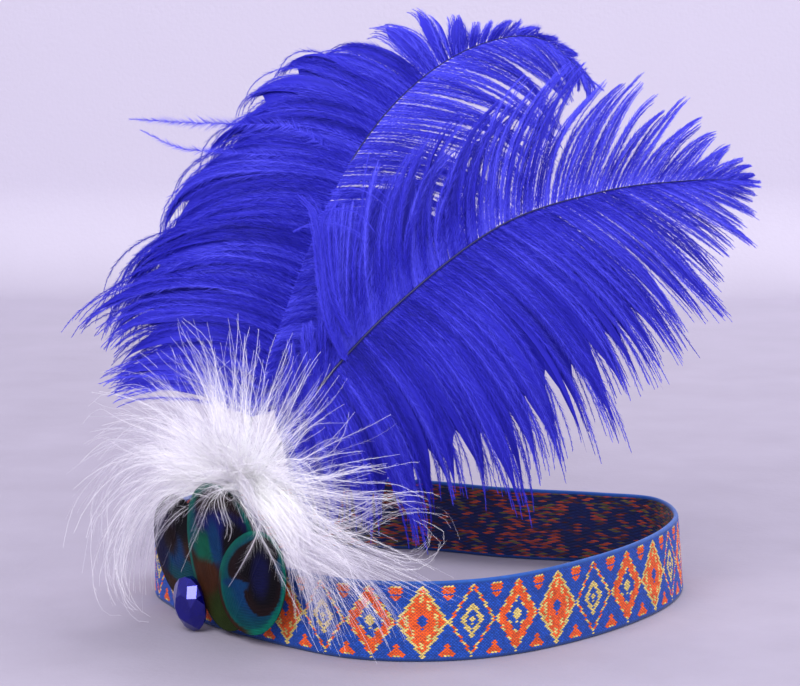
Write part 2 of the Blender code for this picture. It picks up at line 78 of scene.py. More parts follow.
# Ornament: places along the band from the gem, and heights. Rows of petals hold the place, the
# height, half the length and half the width, the tilt in degrees, the taper and the layer.
SEAT_GAP = 0.4
LAYER_GAP = 0.3
PAD_THICK = 2.0
FAN_LEAN = 0.178
FAN_FOOT = 9.0
PETAL_THICK = 1.3
PETALS = (
    ("petal_left", -6.0, 25.0, 19.0, 14.0, -32.0, -0.20, 0),
    ("petal_centre", 20.5, 26.0, 24.5, 16.0, -14.0, 0.10, 1),
    ("petal_right", 34.5, 21.3, 20.0, 12.3, -37.0, -0.12, 2),
)

# Marabou: its head and the bend of its locks. Rows of locks hold the angle at which they leave
# the head and the one at which they end, in degrees, their reach and how far back they end.
FLUFF_MIDDLE = (27.0, 48.2)
FLUFF_HALF = (14.0, 2.8, 10.5)
FLUFF_OUT = 4.5
FLUFF_LOCKS = (
    (-40.0, -52.0, 48.0, -36.0), (-26.0, -42.0, 54.0, -38.0), (-12.0, -25.0, 56.0, -34.0),
    (4.0, -4.0, 54.0, -26.0), (16.0, 12.0, 50.0, -19.0), (30.0, 28.0, 48.0, -13.0),
    (60.0, 60.0, 46.0, -4.0), (90.0, 90.0, 49.0, 0.0), (120.0, 120.0, 50.0, 2.0),
    (145.0, 154.0, 50.0, 8.0), (168.0, 196.0, 51.0, 16.0), (188.0, 224.0, 54.0, 16.0),
)
# Share of the strands that are kept, by the angle at which they leave the head
FLUFF_DENSITY = ((-40.0, 5.0, 30.0, 95.0, 112.0, 224.0), (0.40, 0.42, 0.52, 0.48, 1.0, 0.92))
FLUFF_BEND_START = 14.0
FLUFF_BEND_END = 50.0
FLUFF_LOW = 20.0
FLUFF_FLATTEN = 0.45
DOWN_STEPS = 14
# Random directions: how many are drawn for each strand that is kept, their share towards the
# viewer, where that share is too large for low ones, and the strands' reach
FLUFF_TRIES = 6
FLUFF_FACING = (-0.30, 0.85)
FLUFF_LOW_FACING = 0.35
FLUFF_HIGH = 0.45
FLUFF_REACH = (0.62, 1.10)
# Where strands start, as a share of the way to the head's surface, the least length that the
# front view is taken to show of a direction, the share of its reach that a strand straight at the
# viewer has, and how far strands wander across and over their line, in how many turns
FLUFF_START = 0.8
FLUFF_SHOWN = 0.7
FLUFF_FACING_REACH = 0.16
FLUFF_WANDER = (2.6, 1.5)
FLUFF_WAVES = (0.5, 1.1)
# Core: where strands start and the directions they take on the head, in its own axes
CORE_MIDDLE = (2.0, 5.0)
CORE_START = (13.0, 4.0, 9.0)
CORE_START_SPREAD = 0.45
CORE_LOWEST = 1.0
CORE_WAY = (12.0, 6.0, 9.0)
CORE_WAY_SPREAD = 0.35
CORE_OUTWARD = 0.35
CORE_UPWARD = 0.1
CORE_REACH = (9.0, 22.0)
CORE_BOW = 2.0
WISP_STEPS = 22
FLOOR_ROUNDING = 3.0
FLOOR_GAP = 0.2

# Plumes
QUILL_STEPS = 12
QUILL_RINGS = 60
QUILL_TAPER = 0.72
BARB_STEPS = 16
GUIDE_STEPS = 10
VANE_START = 0.17
ROOT_HEIGHT = 27.6
ROOT_OUT = -1.8
FRONT_ROOT = 16.0
REAR_ROOT = 10.5
NEAR_ROOT = 0.22
BARB_LIFT = 4.0 / 70.0
# Random spreads: widths of wisps, their lengths and depths, how many turns their waves have, and
# the lengths and first headings of barbs
WISP_WIDTHS = (0.25, 1.9)
WISP_LENGTH_SPREAD = 0.08
WISP_DEPTH_SPREAD = 1.6
WAVE_TURNS = (0.6, 1.3)
WAVE_SHARE = 1.2
BARB_LENGTH_SPREAD = 0.05
BARB_TURN_SPREAD = 2.0
# Gathering: how far barbs come together in thin and in full parts, and where on them it starts
GATHER_FULLNESS = (0.7, 1.0)
GATHER = (0.82, 0.34)
GATHER_START = 0.40
# Depth of the barbs' layers, and the depths and tones of the webs and the back behind them, which
# are toned darker than the barbs as painted shade. The back is there where the vane is at least so
# full.
LAYER_DEPTH = 1.8
WEB_DEPTH = 0.5
WEB_PAINTED_SHADE_TONE = 0.34
BACK_DEPTH = 1.5
BACK_PAINTED_SHADE_TONE = 0.26
BACK_FULLNESS = 0.86
# Webs narrow from this part of a wisp on, and between these values of the vane's fullness
WEB_COLUMNS = 9
WEB_PART = 0.66
WEB_FULLNESS = (0.60, 0.90)
# How far the back reaches along the wisps, and how deep its notches are
BACK_COLUMNS = 5
BACK_REACH = 0.90
BACK_NOTCH = 0.24
# Tones of barbs: the usual one, its spreads among barbs and wisps, and what is added in the middle
# of a wisp, taken away at its sides, and added where the vane is thin and at a barb's tip. These
# last four are painted light and shade: lighter middles, thin parts and tips, darker sides.
BARB_TONE = 0.42
BARB_TONE_SPREAD = 0.15
WISP_TONE_SPREAD = 0.10
MIDDLE_PAINTED_LIGHT = 0.10
SIDES_PAINTED_SHADE = 0.16
THIN_PAINTED_LIGHT = 0.46
TIP_PAINTED_LIGHT = 0.10
WEB_TONE_SPREAD = 0.07
SHEET_ROOTS = 0.7
# Lengths of barbs: at the middle of a wisp, and what its sides lose where the vane is thin and
# gain back where it is full
MIDDLE_LENGTH = 1.03
SIDES_LOSS = 0.34
FULL_GAIN = 0.24
OWN_PULL_SPREAD = 0.45
# Points of the quills in front of the pad
FRONT_QUILL = (
    (-50.6, -40.4, 43.0), (-41.3, -39.0, 58.2), (-27.5, -33.0, 78.1), (-4.4, -25.0, 101.2),
    (26.3, -16.0, 123.4), (57.9, -10.0, 133.1), (84.0, -6.5, 136.0), (101.0, -4.5, 136.0),
)
REAR_QUILL = (
    (-54.6, -35.2, 43.0), (-49.3, -28.0, 69.2), (-40.6, -12.0, 95.7), (-25.5, 10.0, 131.5),
    (-6.9, 25.0, 157.5), (15.9, 36.0, 173.9), (39.3, 42.0, 177.9), (56.7, 44.0, 164.3),
)
# Barbs of each vane: part of the quill, length, first heading, last heading, depth of the tip
FRONT_UPPER = (
    (0.17, 12.0, 106.0, 98.0, 3.0), (0.27, 24.0, 98.0, 88.0, 5.0),
    (0.31, 42.0, 96.0, 86.0, 6.0), (0.40, 48.0, 106.0, 66.0, 8.0), (0.50, 50.0, 108.0, 48.0, 9.0),
    (0.60, 51.0, 100.0, 46.0, 9.0), (0.69, 47.0, 90.0, 46.0, 8.0),
    (0.78, 36.0, 76.0, 40.0, 7.0), (0.86, 25.0, 66.0, 36.0, 5.0),
    (0.94, 15.0, 46.0, 24.0, 3.0), (1.00, 5.0, 15.0, 8.0, 1.0),
)
FRONT_LOWER = (
    (0.17, 26.0, -72.0, -90.0, 4.0), (0.22, 38.0, -68.0, -88.0, 5.0),
    (0.27, 49.0, -60.0, -86.0, 6.0), (0.32, 57.0, -51.0, -82.0, 7.0),
    (0.38, 65.0, -41.0, -80.0, 8.0), (0.45, 71.0, -34.0, -78.0, 8.5),
    (0.50, 73.0, -32.0, -76.0, 9.0), (0.60, 71.0, -30.0, -70.0, 9.0),
    (0.69, 64.0, -30.0, -60.0, 8.0), (0.78, 49.0, -26.0, -52.0, 7.0),
    (0.86, 34.0, -20.0, -42.0, 5.0), (0.94, 18.0, -14.0, -28.0, 3.0),
    (1.00, 5.0, -5.0, -10.0, 1.0),
)
REAR_LEFT = (
    (0.17, 40.0, 148.0, 200.0, 8.0), (0.30, 58.0, 152.0, 212.0, 14.0),
    (0.40, 74.0, 158.0, 230.0, 20.0), (0.50, 76.0, 163.0, 240.0, 22.0),
    (0.57, 71.0, 157.0, 222.0, 20.0), (0.62, 62.0, 152.0, 206.0, 16.0),
    (0.67, 47.0, 144.0, 184.0, 12.0), (0.73, 28.0, 132.0, 152.0, 8.0),
    (0.77, 15.0, 112.0, 112.0, 5.0), (0.81, 8.0, 84.0, 66.0, 4.0),
    (0.87, 6.0, 48.0, 24.0, 3.0), (0.94, 5.0, -4.0, -30.0, 2.0),
    (1.00, 6.0, -50.0, -66.0, 0.0),
)
REAR_RIGHT = (
    (0.17, 20.0, 24.0, -20.0, 10.0), (0.30, 34.0, 16.0, -35.0, 14.0),
    (0.40, 46.0, 12.0, -45.0, 16.0), (0.50, 54.0, 8.0, -45.0, 14.0),
    (0.60, 58.0, 4.0, -42.0, 12.0), (0.67, 56.0, 0.0, -42.0, 10.0),
    (0.74, 48.0, -6.0, -46.0, 8.0), (0.80, 38.0, -14.0, -52.0, 6.0),
    (0.86, 28.0, -24.0, -60.0, 4.0), (0.93, 15.0, -48.0, -74.0, 2.0),
    (1.00, 7.0, -74.0, -84.0, 0.0),
)


def smooth_curve(points, steps, closed=False):
    """Catmull-Rom curve through points: the cubic whose slope at each point is half the step from
    the point before to the point after."""
    points = np.asarray(points, dtype=float)
    count = len(points)
    if closed:
        before, start, end, after = (np.roll(points, k, axis=0) for k in (1, 0, -1, -2))
    else:
        padded = np.vstack((2 * points[0] - points[1], points, 2 * points[-1] - points[-2]))
        before, start, end, after = (padded[i:i + count - 1] for i in range(4))
    t = (np.arange(steps) / steps)[None, :, None]
    p0, p1, p2, p3 = (row[:, None, :] for row in (before, start, end, after))
    curve = 0.5 * (2 * p1 + (p2 - p0) * t + (2 * p0 - 5 * p1 + 4 * p2 - p3) * t ** 2
                   + (3 * p1 - p0 - 3 * p2 + p3) * t ** 3)
    curve = curve.reshape(-1, points.shape[1])
    return curve if closed else np.vstack((curve, points[-1]))


def arc_lengths(curve):
    """Distance along a line of points."""
    steps = np.linalg.norm(np.diff(curve, axis=0), axis=1)
    return np.concatenate(([0.0], np.cumsum(steps)))


def read_line(curve, lengths, here):
    """Points of a line at distances along it, by straight steps between its own points."""
    return np.stack([np.interp(here, lengths, column) for column in curve.T], axis=-1)


def unit(vectors):
    """Vectors divided by their lengths."""
    return vectors / np.maximum(np.linalg.norm(vectors, axis=-1, keepdims=True), 1e-9)


def smoothstep(low, high, value):
    """Nought below low, one above high, and 3t^2 - 2t^3 between them."""
    t = np.clip((value - low) / (high - low), 0.0, 1.0)
    return t * t * (3.0 - 2.0 * t)


class BandRoute:
    """The band's outer face as a closed curve, read by the arc length from the gem."""

    def __init__(self):
        curve = smooth_curve(BAND_ROUTE, ROUTE_STEPS, closed=True)
        self.curve = np.vstack((curve, curve[0]))
        self.along = arc_lengths(self.curve[:, :2])
        self.length = self.along[-1]
        gaps = np.linalg.norm(self.curve[:, :2] - GEM_ROUTE_POINT, axis=1)
        self.gem_along = self.along[np.argmin(gaps)]

    def outward(self, along):
        """Unit vector out of the band at arc lengths: the route's direction turned by a quarter."""
        here = np.mod(np.asarray(along, dtype=float) + self.gem_along, self.length)
        after, before = (
            read_line(self.curve[:, :2], self.along, np.mod(here + step, self.length))
            for step in (DIRECTION_STEP, -DIRECTION_STEP))
        way = unit(after - before)
        return np.stack((way[..., 1], -way[..., 0], 0.0 * way[..., 0]), axis=-1)

    def point(self, along, height, out):
        """The point at a height, so far out of the band's outer face."""
        along, height, out = np.broadcast_arrays(*(np.asarray(v, dtype=float)
                                                   for v in (along, height, out)))
        here = np.mod(along + self.gem_along, self.length)
        x, y, lean = np.moveaxis(read_line(self.curve, self.along, here), -1, 0)
        shift = lean * height / BAND_HEIGHT + out
        outward = self.outward(along)
        return np.stack((x + outward[..., 0] * shift, y + outward[..., 1] * shift, height),
                        axis=-1)


ROUTE = BandRoute()


def make_piece(name, points, triangles, material, fields=None):
    """A smooth mesh object from points in millimetres and triangles. fields gives each point
    named numbers or colours."""
    mesh = bpy.data.meshes.new(name)
    points = (np.asarray(points, dtype=float).reshape(-1, 3) + SHIFT) * MM
    triangles = np.asarray(triangles, dtype=np.int32).reshape(-1, 3)
    mesh.vertices.add(len(points))
    mesh.vertices.foreach_set("co", points.astype(np.float32).ravel())
    mesh.loops.add(triangles.size)
    mesh.loops.foreach_set("vertex_index", triangles.ravel())
    mesh.polygons.add(len(triangles))
    mesh.polygons.foreach_set("loop_start", np.arange(0, triangles.size, 3, dtype=np.int32))
    mesh.update(calc_edges=True)
    for label, values in (fields or {}).items():
        values = np.asarray(values, dtype=np.float32)
        if values.ndim == 1:
            mesh.attributes.new(label, "FLOAT", "POINT").data.foreach_set("value", values)
        else:
            rgba = np.concatenate((values, np.ones((len(values), 1), np.float32)), axis=1)
            layer = mesh.attributes.new(label, "FLOAT_COLOR", "POINT")
            layer.data.foreach_set("color", rgba.ravel())
    if mesh.validate():
        raise RuntimeError(name + " has faces that Blender had to mend")
    mesh.shade_smooth()
    mesh.materials.append(material)
    piece = bpy.data.objects.new(name, mesh)
    bpy.context.scene.collection.objects.link(piece)
    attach(piece, "root")
    return piece


def grid_triangles(rows, columns, first=0, closed=False):
    """Two triangles for each cell of a grid of points that is stored row by row."""
    across = columns if closed else columns - 1
    r, c = np.meshgrid(np.arange(rows - 1), np.arange(across), indexing="ij")
    a = first + r * columns + c
    b = first + r * columns + (c + 1) % columns
    return np.concatenate((np.stack((a, b, b + columns), axis=-1).reshape(-1, 3),
                           np.stack((a, b + columns, a + columns), axis=-1).reshape(-1, 3)))


def cap_triangles(tip, first, sides):
    """A fan of triangles from a tip point to a closed ring of points."""
    i = np.arange(sides)
    return np.stack((np.full(sides, tip), first + i, first + (i + 1) % sides), axis=-1)


def tube(curve, radii, sides=8):
    """A round closed tube along a line of points: circles across it, drawn to a point at both
    ends."""
    along = unit(np.gradient(curve, axis=0))
    helper = np.where(np.abs(along[:, 1:2]) < 0.9, (0.0, 1.0, 0.0), (1.0, 0.0, 0.0))
    first = unit(np.cross(along, helper))
    second = np.cross(along, first)
    turn = np.arange(sides) * 2 * math.pi / sides
    ring = (first[:, None] * np.cos(turn)[:, None] + second[:, None] * np.sin(turn)[:, None])
    points = curve[:, None] + ring * np.asarray(radii)[:, None, None]
    points = np.vstack((points.reshape(-1, 3), curve[0], curve[-1]))
    body = grid_triangles(len(curve), sides, closed=True)
    start = cap_triangles(len(points) - 2, 0, sides)[:, (0, 2, 1)]
    end = cap_triangles(len(points) - 1, (len(curve) - 1) * sides, sides)
    return points, np.concatenate((body, start, end))


ALMOST_ONE = 0.9999


class Strands:
    """Feather barbs with their barbules. paths holds the points of each barb, facing the way
    that its flat side looks."""
    SIZE_RANGE = (0.6, 1.25)
    CLOSING = 0.45
    TONE_SPREAD = 0.10
    # One long edge of each barbule is painted lighter, the other darker: painted light and shade
    PAINTED_LIT_EDGE = 0.12
    PAINTED_SHADED_EDGE = -0.10

    def __init__(self, paths, facing, rng):
        self.paths = paths
        self.rng = rng
        self.along = unit(np.gradient(paths, axis=1))
        self.sides = unit(np.cross(self.along, facing))
        steps = np.linalg.norm(np.diff(paths, axis=1), axis=2)
        self.lengths = steps.sum(axis=1)
        self.reaches = np.ones(len(paths))
        self.openings = np.ones(len(paths))
        self.points = []
        self.triangles = []
        self.tones = []
        self.count = 0

    def add(self, points, triangles, tones):
        """Keep points, the triangles between them and their tones."""
        self.points.append(points.reshape(-1, 3))
        self.triangles.append(triangles.reshape(-1, 3) + self.count)
        self.tones.append(tones.ravel())
        self.count += points.size // 3

    def shafts(self, root_width, tip_width, tones):
        """A flat ribbon along each barb, whose width falls evenly from the root to the tip."""
        barbs, steps = self.paths.shape[:2]
        half = np.linspace(root_width, tip_width, steps)[None, :, None] / 2
        points = np.stack((self.paths - self.sides * half, self.paths + self.sides * half), axis=2)
        cell = (np.arange(barbs)[:, None] * steps + np.arange(steps - 1)).reshape(-1, 1) * 2
        triangles = np.concatenate((cell + (0, 1, 3), cell + (0, 3, 2)))
        self.add(points, triangles, np.repeat(tones[:, :, None], 2, axis=2))

    def barbules(self, spacing, reach, width, angle, spread, profile, tones, lift=0.5):
        """Thin triangles along each barb, to both sides. Each starts on the barb, leaves it at an
        angle in degrees that varies by spread and closes towards the barb's tip, and is as long as
        reach times the profile there. One long edge is painted lighter than the other, as painted
        light and shade."""
        rng = self.rng
        counts = np.maximum((self.lengths / spacing).astype(int), 2)
        barb = np.repeat(np.arange(len(counts)), counts)
        first = np.repeat(np.cumsum(counts) - counts, counts)
        part = (np.arange(len(barb)) - first + rng.random(len(barb))) / counts[barb]
        last = self.paths.shape[1] - 1
        at = np.minimum(part, ALMOST_ONE) * last
        low = at.astype(int)
        share = (at - low)[:, None]

        def read(rows):
            return rows[barb, low] * (1.0 - share) + rows[barb, low + 1] * share

        root = read(self.paths)
        along = unit(read(self.along))
        side = unit(read(self.sides))
        face = np.cross(side, along)
        sign = np.where(rng.random(len(barb)) < 0.5, 1.0, -1.0)
        turn = angle * self.openings[barb] * (1.0 - self.CLOSING * part)
        turn = np.radians(turn + spread * rng.standard_normal(len(barb)))[:, None]
        rise = (lift * rng.standard_normal(len(barb)))[:, None]
        way = along * np.cos(turn) + side * np.sin(turn) * sign[:, None] * np.cos(rise)
        way = way + face * np.sin(turn) * np.sin(rise)
        size = reach * self.reaches[barb] * np.interp(part, *profile)
        size = size * rng.uniform(*self.SIZE_RANGE, len(barb))
        tip = root + way * size[:, None]
        half = along * width / 2
        ends = np.stack((root - half, root + half), axis=1)
        swap = sign > 0
        points = np.stack((ends[:, 0], np.where(swap[:, None], tip, ends[:, 1]),
                           np.where(swap[:, None], ends[:, 1], tip)), axis=1)
        triangles = np.arange(3 * len(barb)).reshape(-1, 3)
        base = tones[barb, low] + self.TONE_SPREAD * rng.standard_normal(len(barb))
        second = np.where(swap, self.PAINTED_LIT_EDGE, self.PAINTED_SHADED_EDGE)
        third = np.where(swap, self.PAINTED_SHADED_EDGE, self.PAINTED_LIT_EDGE)
        tone = np.stack((base + self.PAINTED_SHADED_EDGE, base + second, base + third), axis=1)
        self.add(points, triangles, tone)

    def mesh(self):
        """Points, triangles and tones of all that was added."""
        tones = np.clip(np.concatenate(self.tones), 0.0, 1.0)
        return np.concatenate(self.points), np.concatenate(self.triangles), {"tone": tones}


def quill_curve(root, points):
    """A plume's quill from its root behind the pad, as a function of the part of its length."""
    start = ROUTE.point(root, ROOT_HEIGHT, ROOT_OUT)
    curve = smooth_curve(np.vstack((start, points)), QUILL_STEPS)
    lengths = arc_lengths(curve)

    def quill(part):
        return read_line(curve, lengths, np.asarray(part, dtype=float) * lengths[-1])

    return quill


def barb_paths(quill, vane, roots, longer, turns, depth_shift, wave, curl):
    """Barbs as arcs in the front view: the heading turns evenly from its first value to its last,
    with a slow wave and a curl by the fourth power added, and the points are the running sum of
    equal steps that way. Each rises towards the viewer by a half sine and sinks back to its tip
    by a square."""
    vane = np.array(vane)
    length, first, last, depth = (np.interp(roots, vane[:, 0], vane[:, i]) for i in range(1, 5))
    length = length * longer
    part = np.linspace(0.0, 1.0, BARB_STEPS + 1)[None, :]
    middle = (part[:, 1:] + part[:, :-1]) / 2
    first = first + turns[0]
    last = last + turns[1]
    heading = first[:, None] + (last - first)[:, None] * middle
    heading = heading + wave[0][:, None] * np.sin(2 * math.pi * (middle * wave[1][:, None]
                                                                + wave[2][:, None])) * middle
    heading = heading + np.interp(roots, *curl)[:, None] * middle ** 4
    heading = np.radians(heading)
    start = quill(roots)
    step = length[:, None] / BARB_STEPS
    nought = np.zeros((len(roots), 1))
    x = start[:, 0:1] + np.hstack((nought, np.cumsum(step * np.cos(heading), axis=1)))
    z = start[:, 2:3] + np.hstack((nought, np.cumsum(step * np.sin(heading), axis=1)))
    y = start[:, 1:2] + (depth + depth_shift)[:, None] * part ** 2
    y = y - BARB_LIFT * length[:, None] * np.sin(math.pi * part)
    return np.stack((x, y, z), axis=-1)


def gather_pull(full, part):
    """How far barbs have come to the middle of their wisp: less in the full parts of a vane,
    rising by a smoothstep of the part of their length. One row for each barb."""
    most = np.interp(full, GATHER_FULLNESS, GATHER)
    return most[:, None] * smoothstep(GATHER_START, 1.0, part)[None, :]


def wisp_webs(middle, low, high, full, part):
    """A sheet in each wisp, from its barb on one side over its middle to the other. It narrows to
    its end, and a smoothstep of the fullness narrows it where the vane is thin."""
    columns = np.linspace(-1.0, 1.0, WEB_COLUMNS)
    shrink = (1.0 - gather_pull(full, part)) * (1.0 - smoothstep(WEB_PART, 1.0, part))
    shrink = (smoothstep(*WEB_FULLNESS, full)[:, None] * shrink)[:, :, None, None]
    side = np.where((columns < 0.0)[:, None], low[:, :, None], high[:, :, None])
    web = middle[:, :, None] + (side - middle[:, :, None]) * np.abs(columns)[:, None] * shrink
    web[..., 1] += WEB_DEPTH
    return web


def vane_back(middle, full, part):
    """A sheet from each wisp to the next where the vane is full. It lies behind them and ends in a
    notch, a half sine deep."""
    share = np.linspace(0.0, 1.0, BACK_COLUMNS)
    place = part[:, None] * (BACK_REACH - BACK_NOTCH * np.sin(math.pi * share)) * BARB_STEPS
    row = np.minimum(place.astype(int), BARB_STEPS - 1)
    along = (place - row)[..., None]
    first, second = (side[:, row] * (1.0 - along) + side[:, row + 1] * along
                     for side in (middle[:-1], middle[1:]))
    back = first + (second - first) * share[:, None]
    back[..., 1] += BACK_DEPTH
    return back[(full[:-1] + full[1:]) > 2.0 * BACK_FULLNESS]


def grow_vane(quill, vane, barbs, wisps, seed, curl, root_light_and_shade, fullness, loose):
    """Barbs of a vane in wisps, with shorter barbules where the table of fullness is low. Every
    barb is drawn towards the middle barb of its wisp by a smoothstep of its own part, so that wisps
    come to points with gaps between them. loose holds how far wisps and barbs turn at random.
    Returns the barbs with their tones, which carry painted light and shade, and sheets of points
    with
    their tones: the wisps' webs, and a back, both toned darker as painted shade."""
    rng = np.random.default_rng(seed)
    vane_part = 1.0 - VANE_START
    roots = VANE_START + vane_part * (np.arange(barbs) + rng.random(barbs)) / barbs
    widths = rng.uniform(*WISP_WIDTHS, wisps)
    edges = VANE_START + vane_part * np.concatenate(([0.0], np.cumsum(widths))) / widths.sum()
    wisp = np.clip(np.searchsorted(edges, roots) - 1, 0, wisps - 1)
    centres = (edges[:-1] + edges[1:]) / 2
    wisp_turn = rng.normal(0.0, loose[0], wisps)
    wisp_long = 1.0 + rng.normal(0.0, WISP_LENGTH_SPREAD, wisps)
    wisp_deep = rng.normal(0.0, WISP_DEPTH_SPREAD, wisps)
    wave = [rng.normal(0.0, WAVE_SHARE * loose[0], wisps), rng.uniform(*WAVE_TURNS, wisps),
            rng.random(wisps)]

    middle, low, high = (
        barb_paths(quill, vane, places, wisp_long, (0.0, wisp_turn), wisp_deep, wave, curl)
        for places in (centres, edges[:-1], edges[1:]))
    own_wave = [wave[0][wisp] + rng.normal(0.0, loose[1], barbs), wave[1][wisp], wave[2][wisp]]
    aside = np.abs(roots - centres[wisp]) / (edges[wisp + 1] - edges[wisp]) * 2.0
    full = np.interp(roots, *fullness)
    longer = wisp_long[wisp] * (1.0 + rng.normal(0.0, BARB_LENGTH_SPREAD, barbs))
    longer = longer * (MIDDLE_LENGTH - (SIDES_LOSS - FULL_GAIN * full) * aside ** 1.5)
    turns = (rng.normal(0.0, BARB_TURN_SPREAD, barbs),
             wisp_turn[wisp] + rng.normal(0.0, loose[1], barbs))
    paths = barb_paths(quill, vane, roots, longer, turns, wisp_deep[wisp], own_wave, curl)
    part = np.linspace(0.0, 1.0, BARB_STEPS + 1)
    own_pull = (1.0 - OWN_PULL_SPREAD * rng.random((barbs, 1))) * gather_pull(full, part)
    paths = paths + (middle[wisp] - paths) * own_pull[..., None]
    layer = rng.uniform(-1.0, 1.0, barbs) * LAYER_DEPTH
    paths[:, :, 1] += layer[:, None] * smoothstep(0.0, 0.5, part)

    near = 1.0 - smoothstep(0.0, NEAR_ROOT, part)
    tones = BARB_TONE + BARB_TONE_SPREAD * rng.standard_normal(barbs)
    tones = tones + WISP_TONE_SPREAD * rng.standard_normal(wisps)[wisp]
    # Lighter wisp middles, thin parts and tips are painted light, and darker wisp sides painted
    # shade
    tones = tones + MIDDLE_PAINTED_LIGHT - SIDES_PAINTED_SHADE * aside + THIN_PAINTED_LIGHT * (1.0 - full)
    # Near the quill, roots are painted lighter in some vanes and darker in others: painted light
    # and shade
    tones = tones[:, None] + root_light_and_shade * near + TIP_PAINTED_LIGHT * part
    strands = Strands(paths, TOWARDS_VIEWER, rng)
    strands.reaches = full

    full = np.interp(centres, *fullness)
    web = wisp_webs(middle, low, high, full, part)
    # Webs and back are toned darker than the barbs as painted shade
    web_tones = WEB_PAINTED_SHADE_TONE + WEB_TONE_SPREAD * rng.standard_normal((wisps, 1, web.shape[2]))
    back = vane_back(middle, full, part)
    near = SHEET_ROOTS * root_light_and_shade * near[:, None]
    return strands, tones, ((web, web_tones + near),
                            (back, np.full(back.shape[:3], BACK_PAINTED_SHADE_TONE) + near))


BARB_WIDTHS = (0.34, 0.14)
SHAFT_LIGHTER = 0.16
BARBULE_ANGLES = (19.0, 5.5)
# Reach of barbules by the part of the barb
VANE_PROFILE = ((0.0, 0.05, 0.15, 0.60, 0.85, 1.0), (0.70, 0.90, 1.0, 1.0, 0.70, 0.20))
# Vanes: table of barbs, number of wisps, seed, spacing of barbules, curl in degrees by the part of
# the quill, how much lighter the roots are painted (painted light where positive, painted shade
# where negative), fullness by that part, and the random turns of wisps and barbs in degrees
VANES = {
    "plume_front_upper": (
        FRONT_UPPER, 40, 11, 0.14, ((0.17, 1.0), (0.0, -8.0)), 0.26,
        ((0.40, 0.62, 0.85, 1.0), (1.0, 0.72, 0.60, 0.55)), (5.0, 3.0)),
    "plume_front_lower": (
        FRONT_LOWER, 44, 12, 0.155, ((0.17, 1.0), (-6.0, 6.0)), -0.20,
        ((0.50, 0.65, 0.85, 1.0), (1.0, 0.88, 0.68, 0.52)), (2.4, 3.8)),
    "plume_rear_left": (
        REAR_LEFT, 44, 13, 0.16,
        ((0.17, 0.45, 0.62, 0.75, 0.85), (10.0, 32.0, 70.0, 60.0, 0.0)), 0.0,
        ((0.50, 0.70, 0.85, 1.0), (1.0, 0.86, 0.75, 0.60)), (7.5, 6.0)),
    "plume_rear_right": (
        REAR_RIGHT, 38, 14, 0.16, ((0.17, 1.0), (-12.0, -12.0)), 0.10,
        ((0.40, 0.55, 0.90, 1.0), (1.0, 0.70, 0.62, 0.55)), (5.0, 3.0)),
}


def build_vane(name, quill, vane, wisps, seed, spacing, curl, root_light_and_shade, fullness, loose,
               material, settings):
    """One vane of a plume as a piece."""
    strands, tones, sheets = grow_vane(
        quill, vane, settings.barbs, wisps, seed, curl, root_light_and_shade, fullness, loose)
    strands.shafts(*BARB_WIDTHS, tones + SHAFT_LIGHTER)
    strands.barbules(spacing, settings.barbule_length, settings.barbule_width, *BARBULE_ANGLES,
                     VANE_PROFILE, tones)
    for sheet, sheet_tones in sheets:
        rows, columns = sheet.shape[1:3]
        first = (np.arange(len(sheet)) * rows * columns)[:, None, None]
        strands.add(sheet, grid_triangles(rows, columns) + first, sheet_tones)
    points, triangles, fields = strands.mesh()
    return make_piece(name, points, triangles, material, fields)


STRAY_WIDTHS = (0.26, 0.12)
STRAY_TONE_SPREAD = 0.06
STRAY_SPACING = 0.16
STRAY_ANGLES = (22.0, 6.0)
STRAY_BARBULE_WIDTH = 0.75
# Barbs that stray from their vane: guide points, then their number, how far they stray, the
# reach and the opening of their barbules and their tone, set light as a painted highlight
STRAY_BARBS = (
    (((-21.5, -35.5, 84.6), (-25.1, -36.5, 93.3), (-27.0, -36.5, 102.8), (-28.2, -35.0, 114.2),
      (-29.4, -33.5, 123.7), (-31.6, -31.0, 130.2), (-35.8, -29.0, 134.6)), 24, 0.8, 2.6, 1.0,
     0.62),
    (((-20.0, -35.5, 91.6), (-24.6, -36.5, 102.4), (-26.7, -35.0, 115.3), (-26.2, -33.0, 126.1),
      (-22.2, -30.0, 133.0)), 12, 1.0, 2.6, 1.0, 0.56),
    (((-37.3, -33.5, 123.1), (-31.8, -33.5, 125.2), (-24.3, -33.5, 125.2), (-17.9, -34.0, 122.7),
      (-14.1, -34.0, 117.8)), 2, 0.5, 1.1, 1.0, 0.66),
    (((-29.6, -32.5, 128.0), (-24.3, -32.5, 129.0), (-17.9, -33.0, 127.3), (-12.5, -33.0, 121.3)),
     2, 0.5, 1.1, 1.0, 0.66),
    (((-26.1, -30.0, 134.4), (-20.1, -30.0, 136.6), (-13.5, -31.0, 134.9), (-6.4, -31.0, 128.1)),
     2, 0.6, 1.1, 1.0, 0.66),
    (((-27.1, 14.0, 143.7), (-39.6, 12.0, 151.2), (-57.8, 12.0, 152.1), (-74.3, 13.0, 152.6),
      (-95.8, 14.0, 153.8)), 1, 0.0, 3.8, 2.3, 0.90),
    (((-27.1, 14.0, 139.0), (-42.8, 12.0, 142.1), (-63.3, 12.0, 143.3), (-75.9, 13.0, 145.0),
      (-91.7, 14.0, 152.6)), 1, 0.0, 3.2, 2.0, 0.90),
)


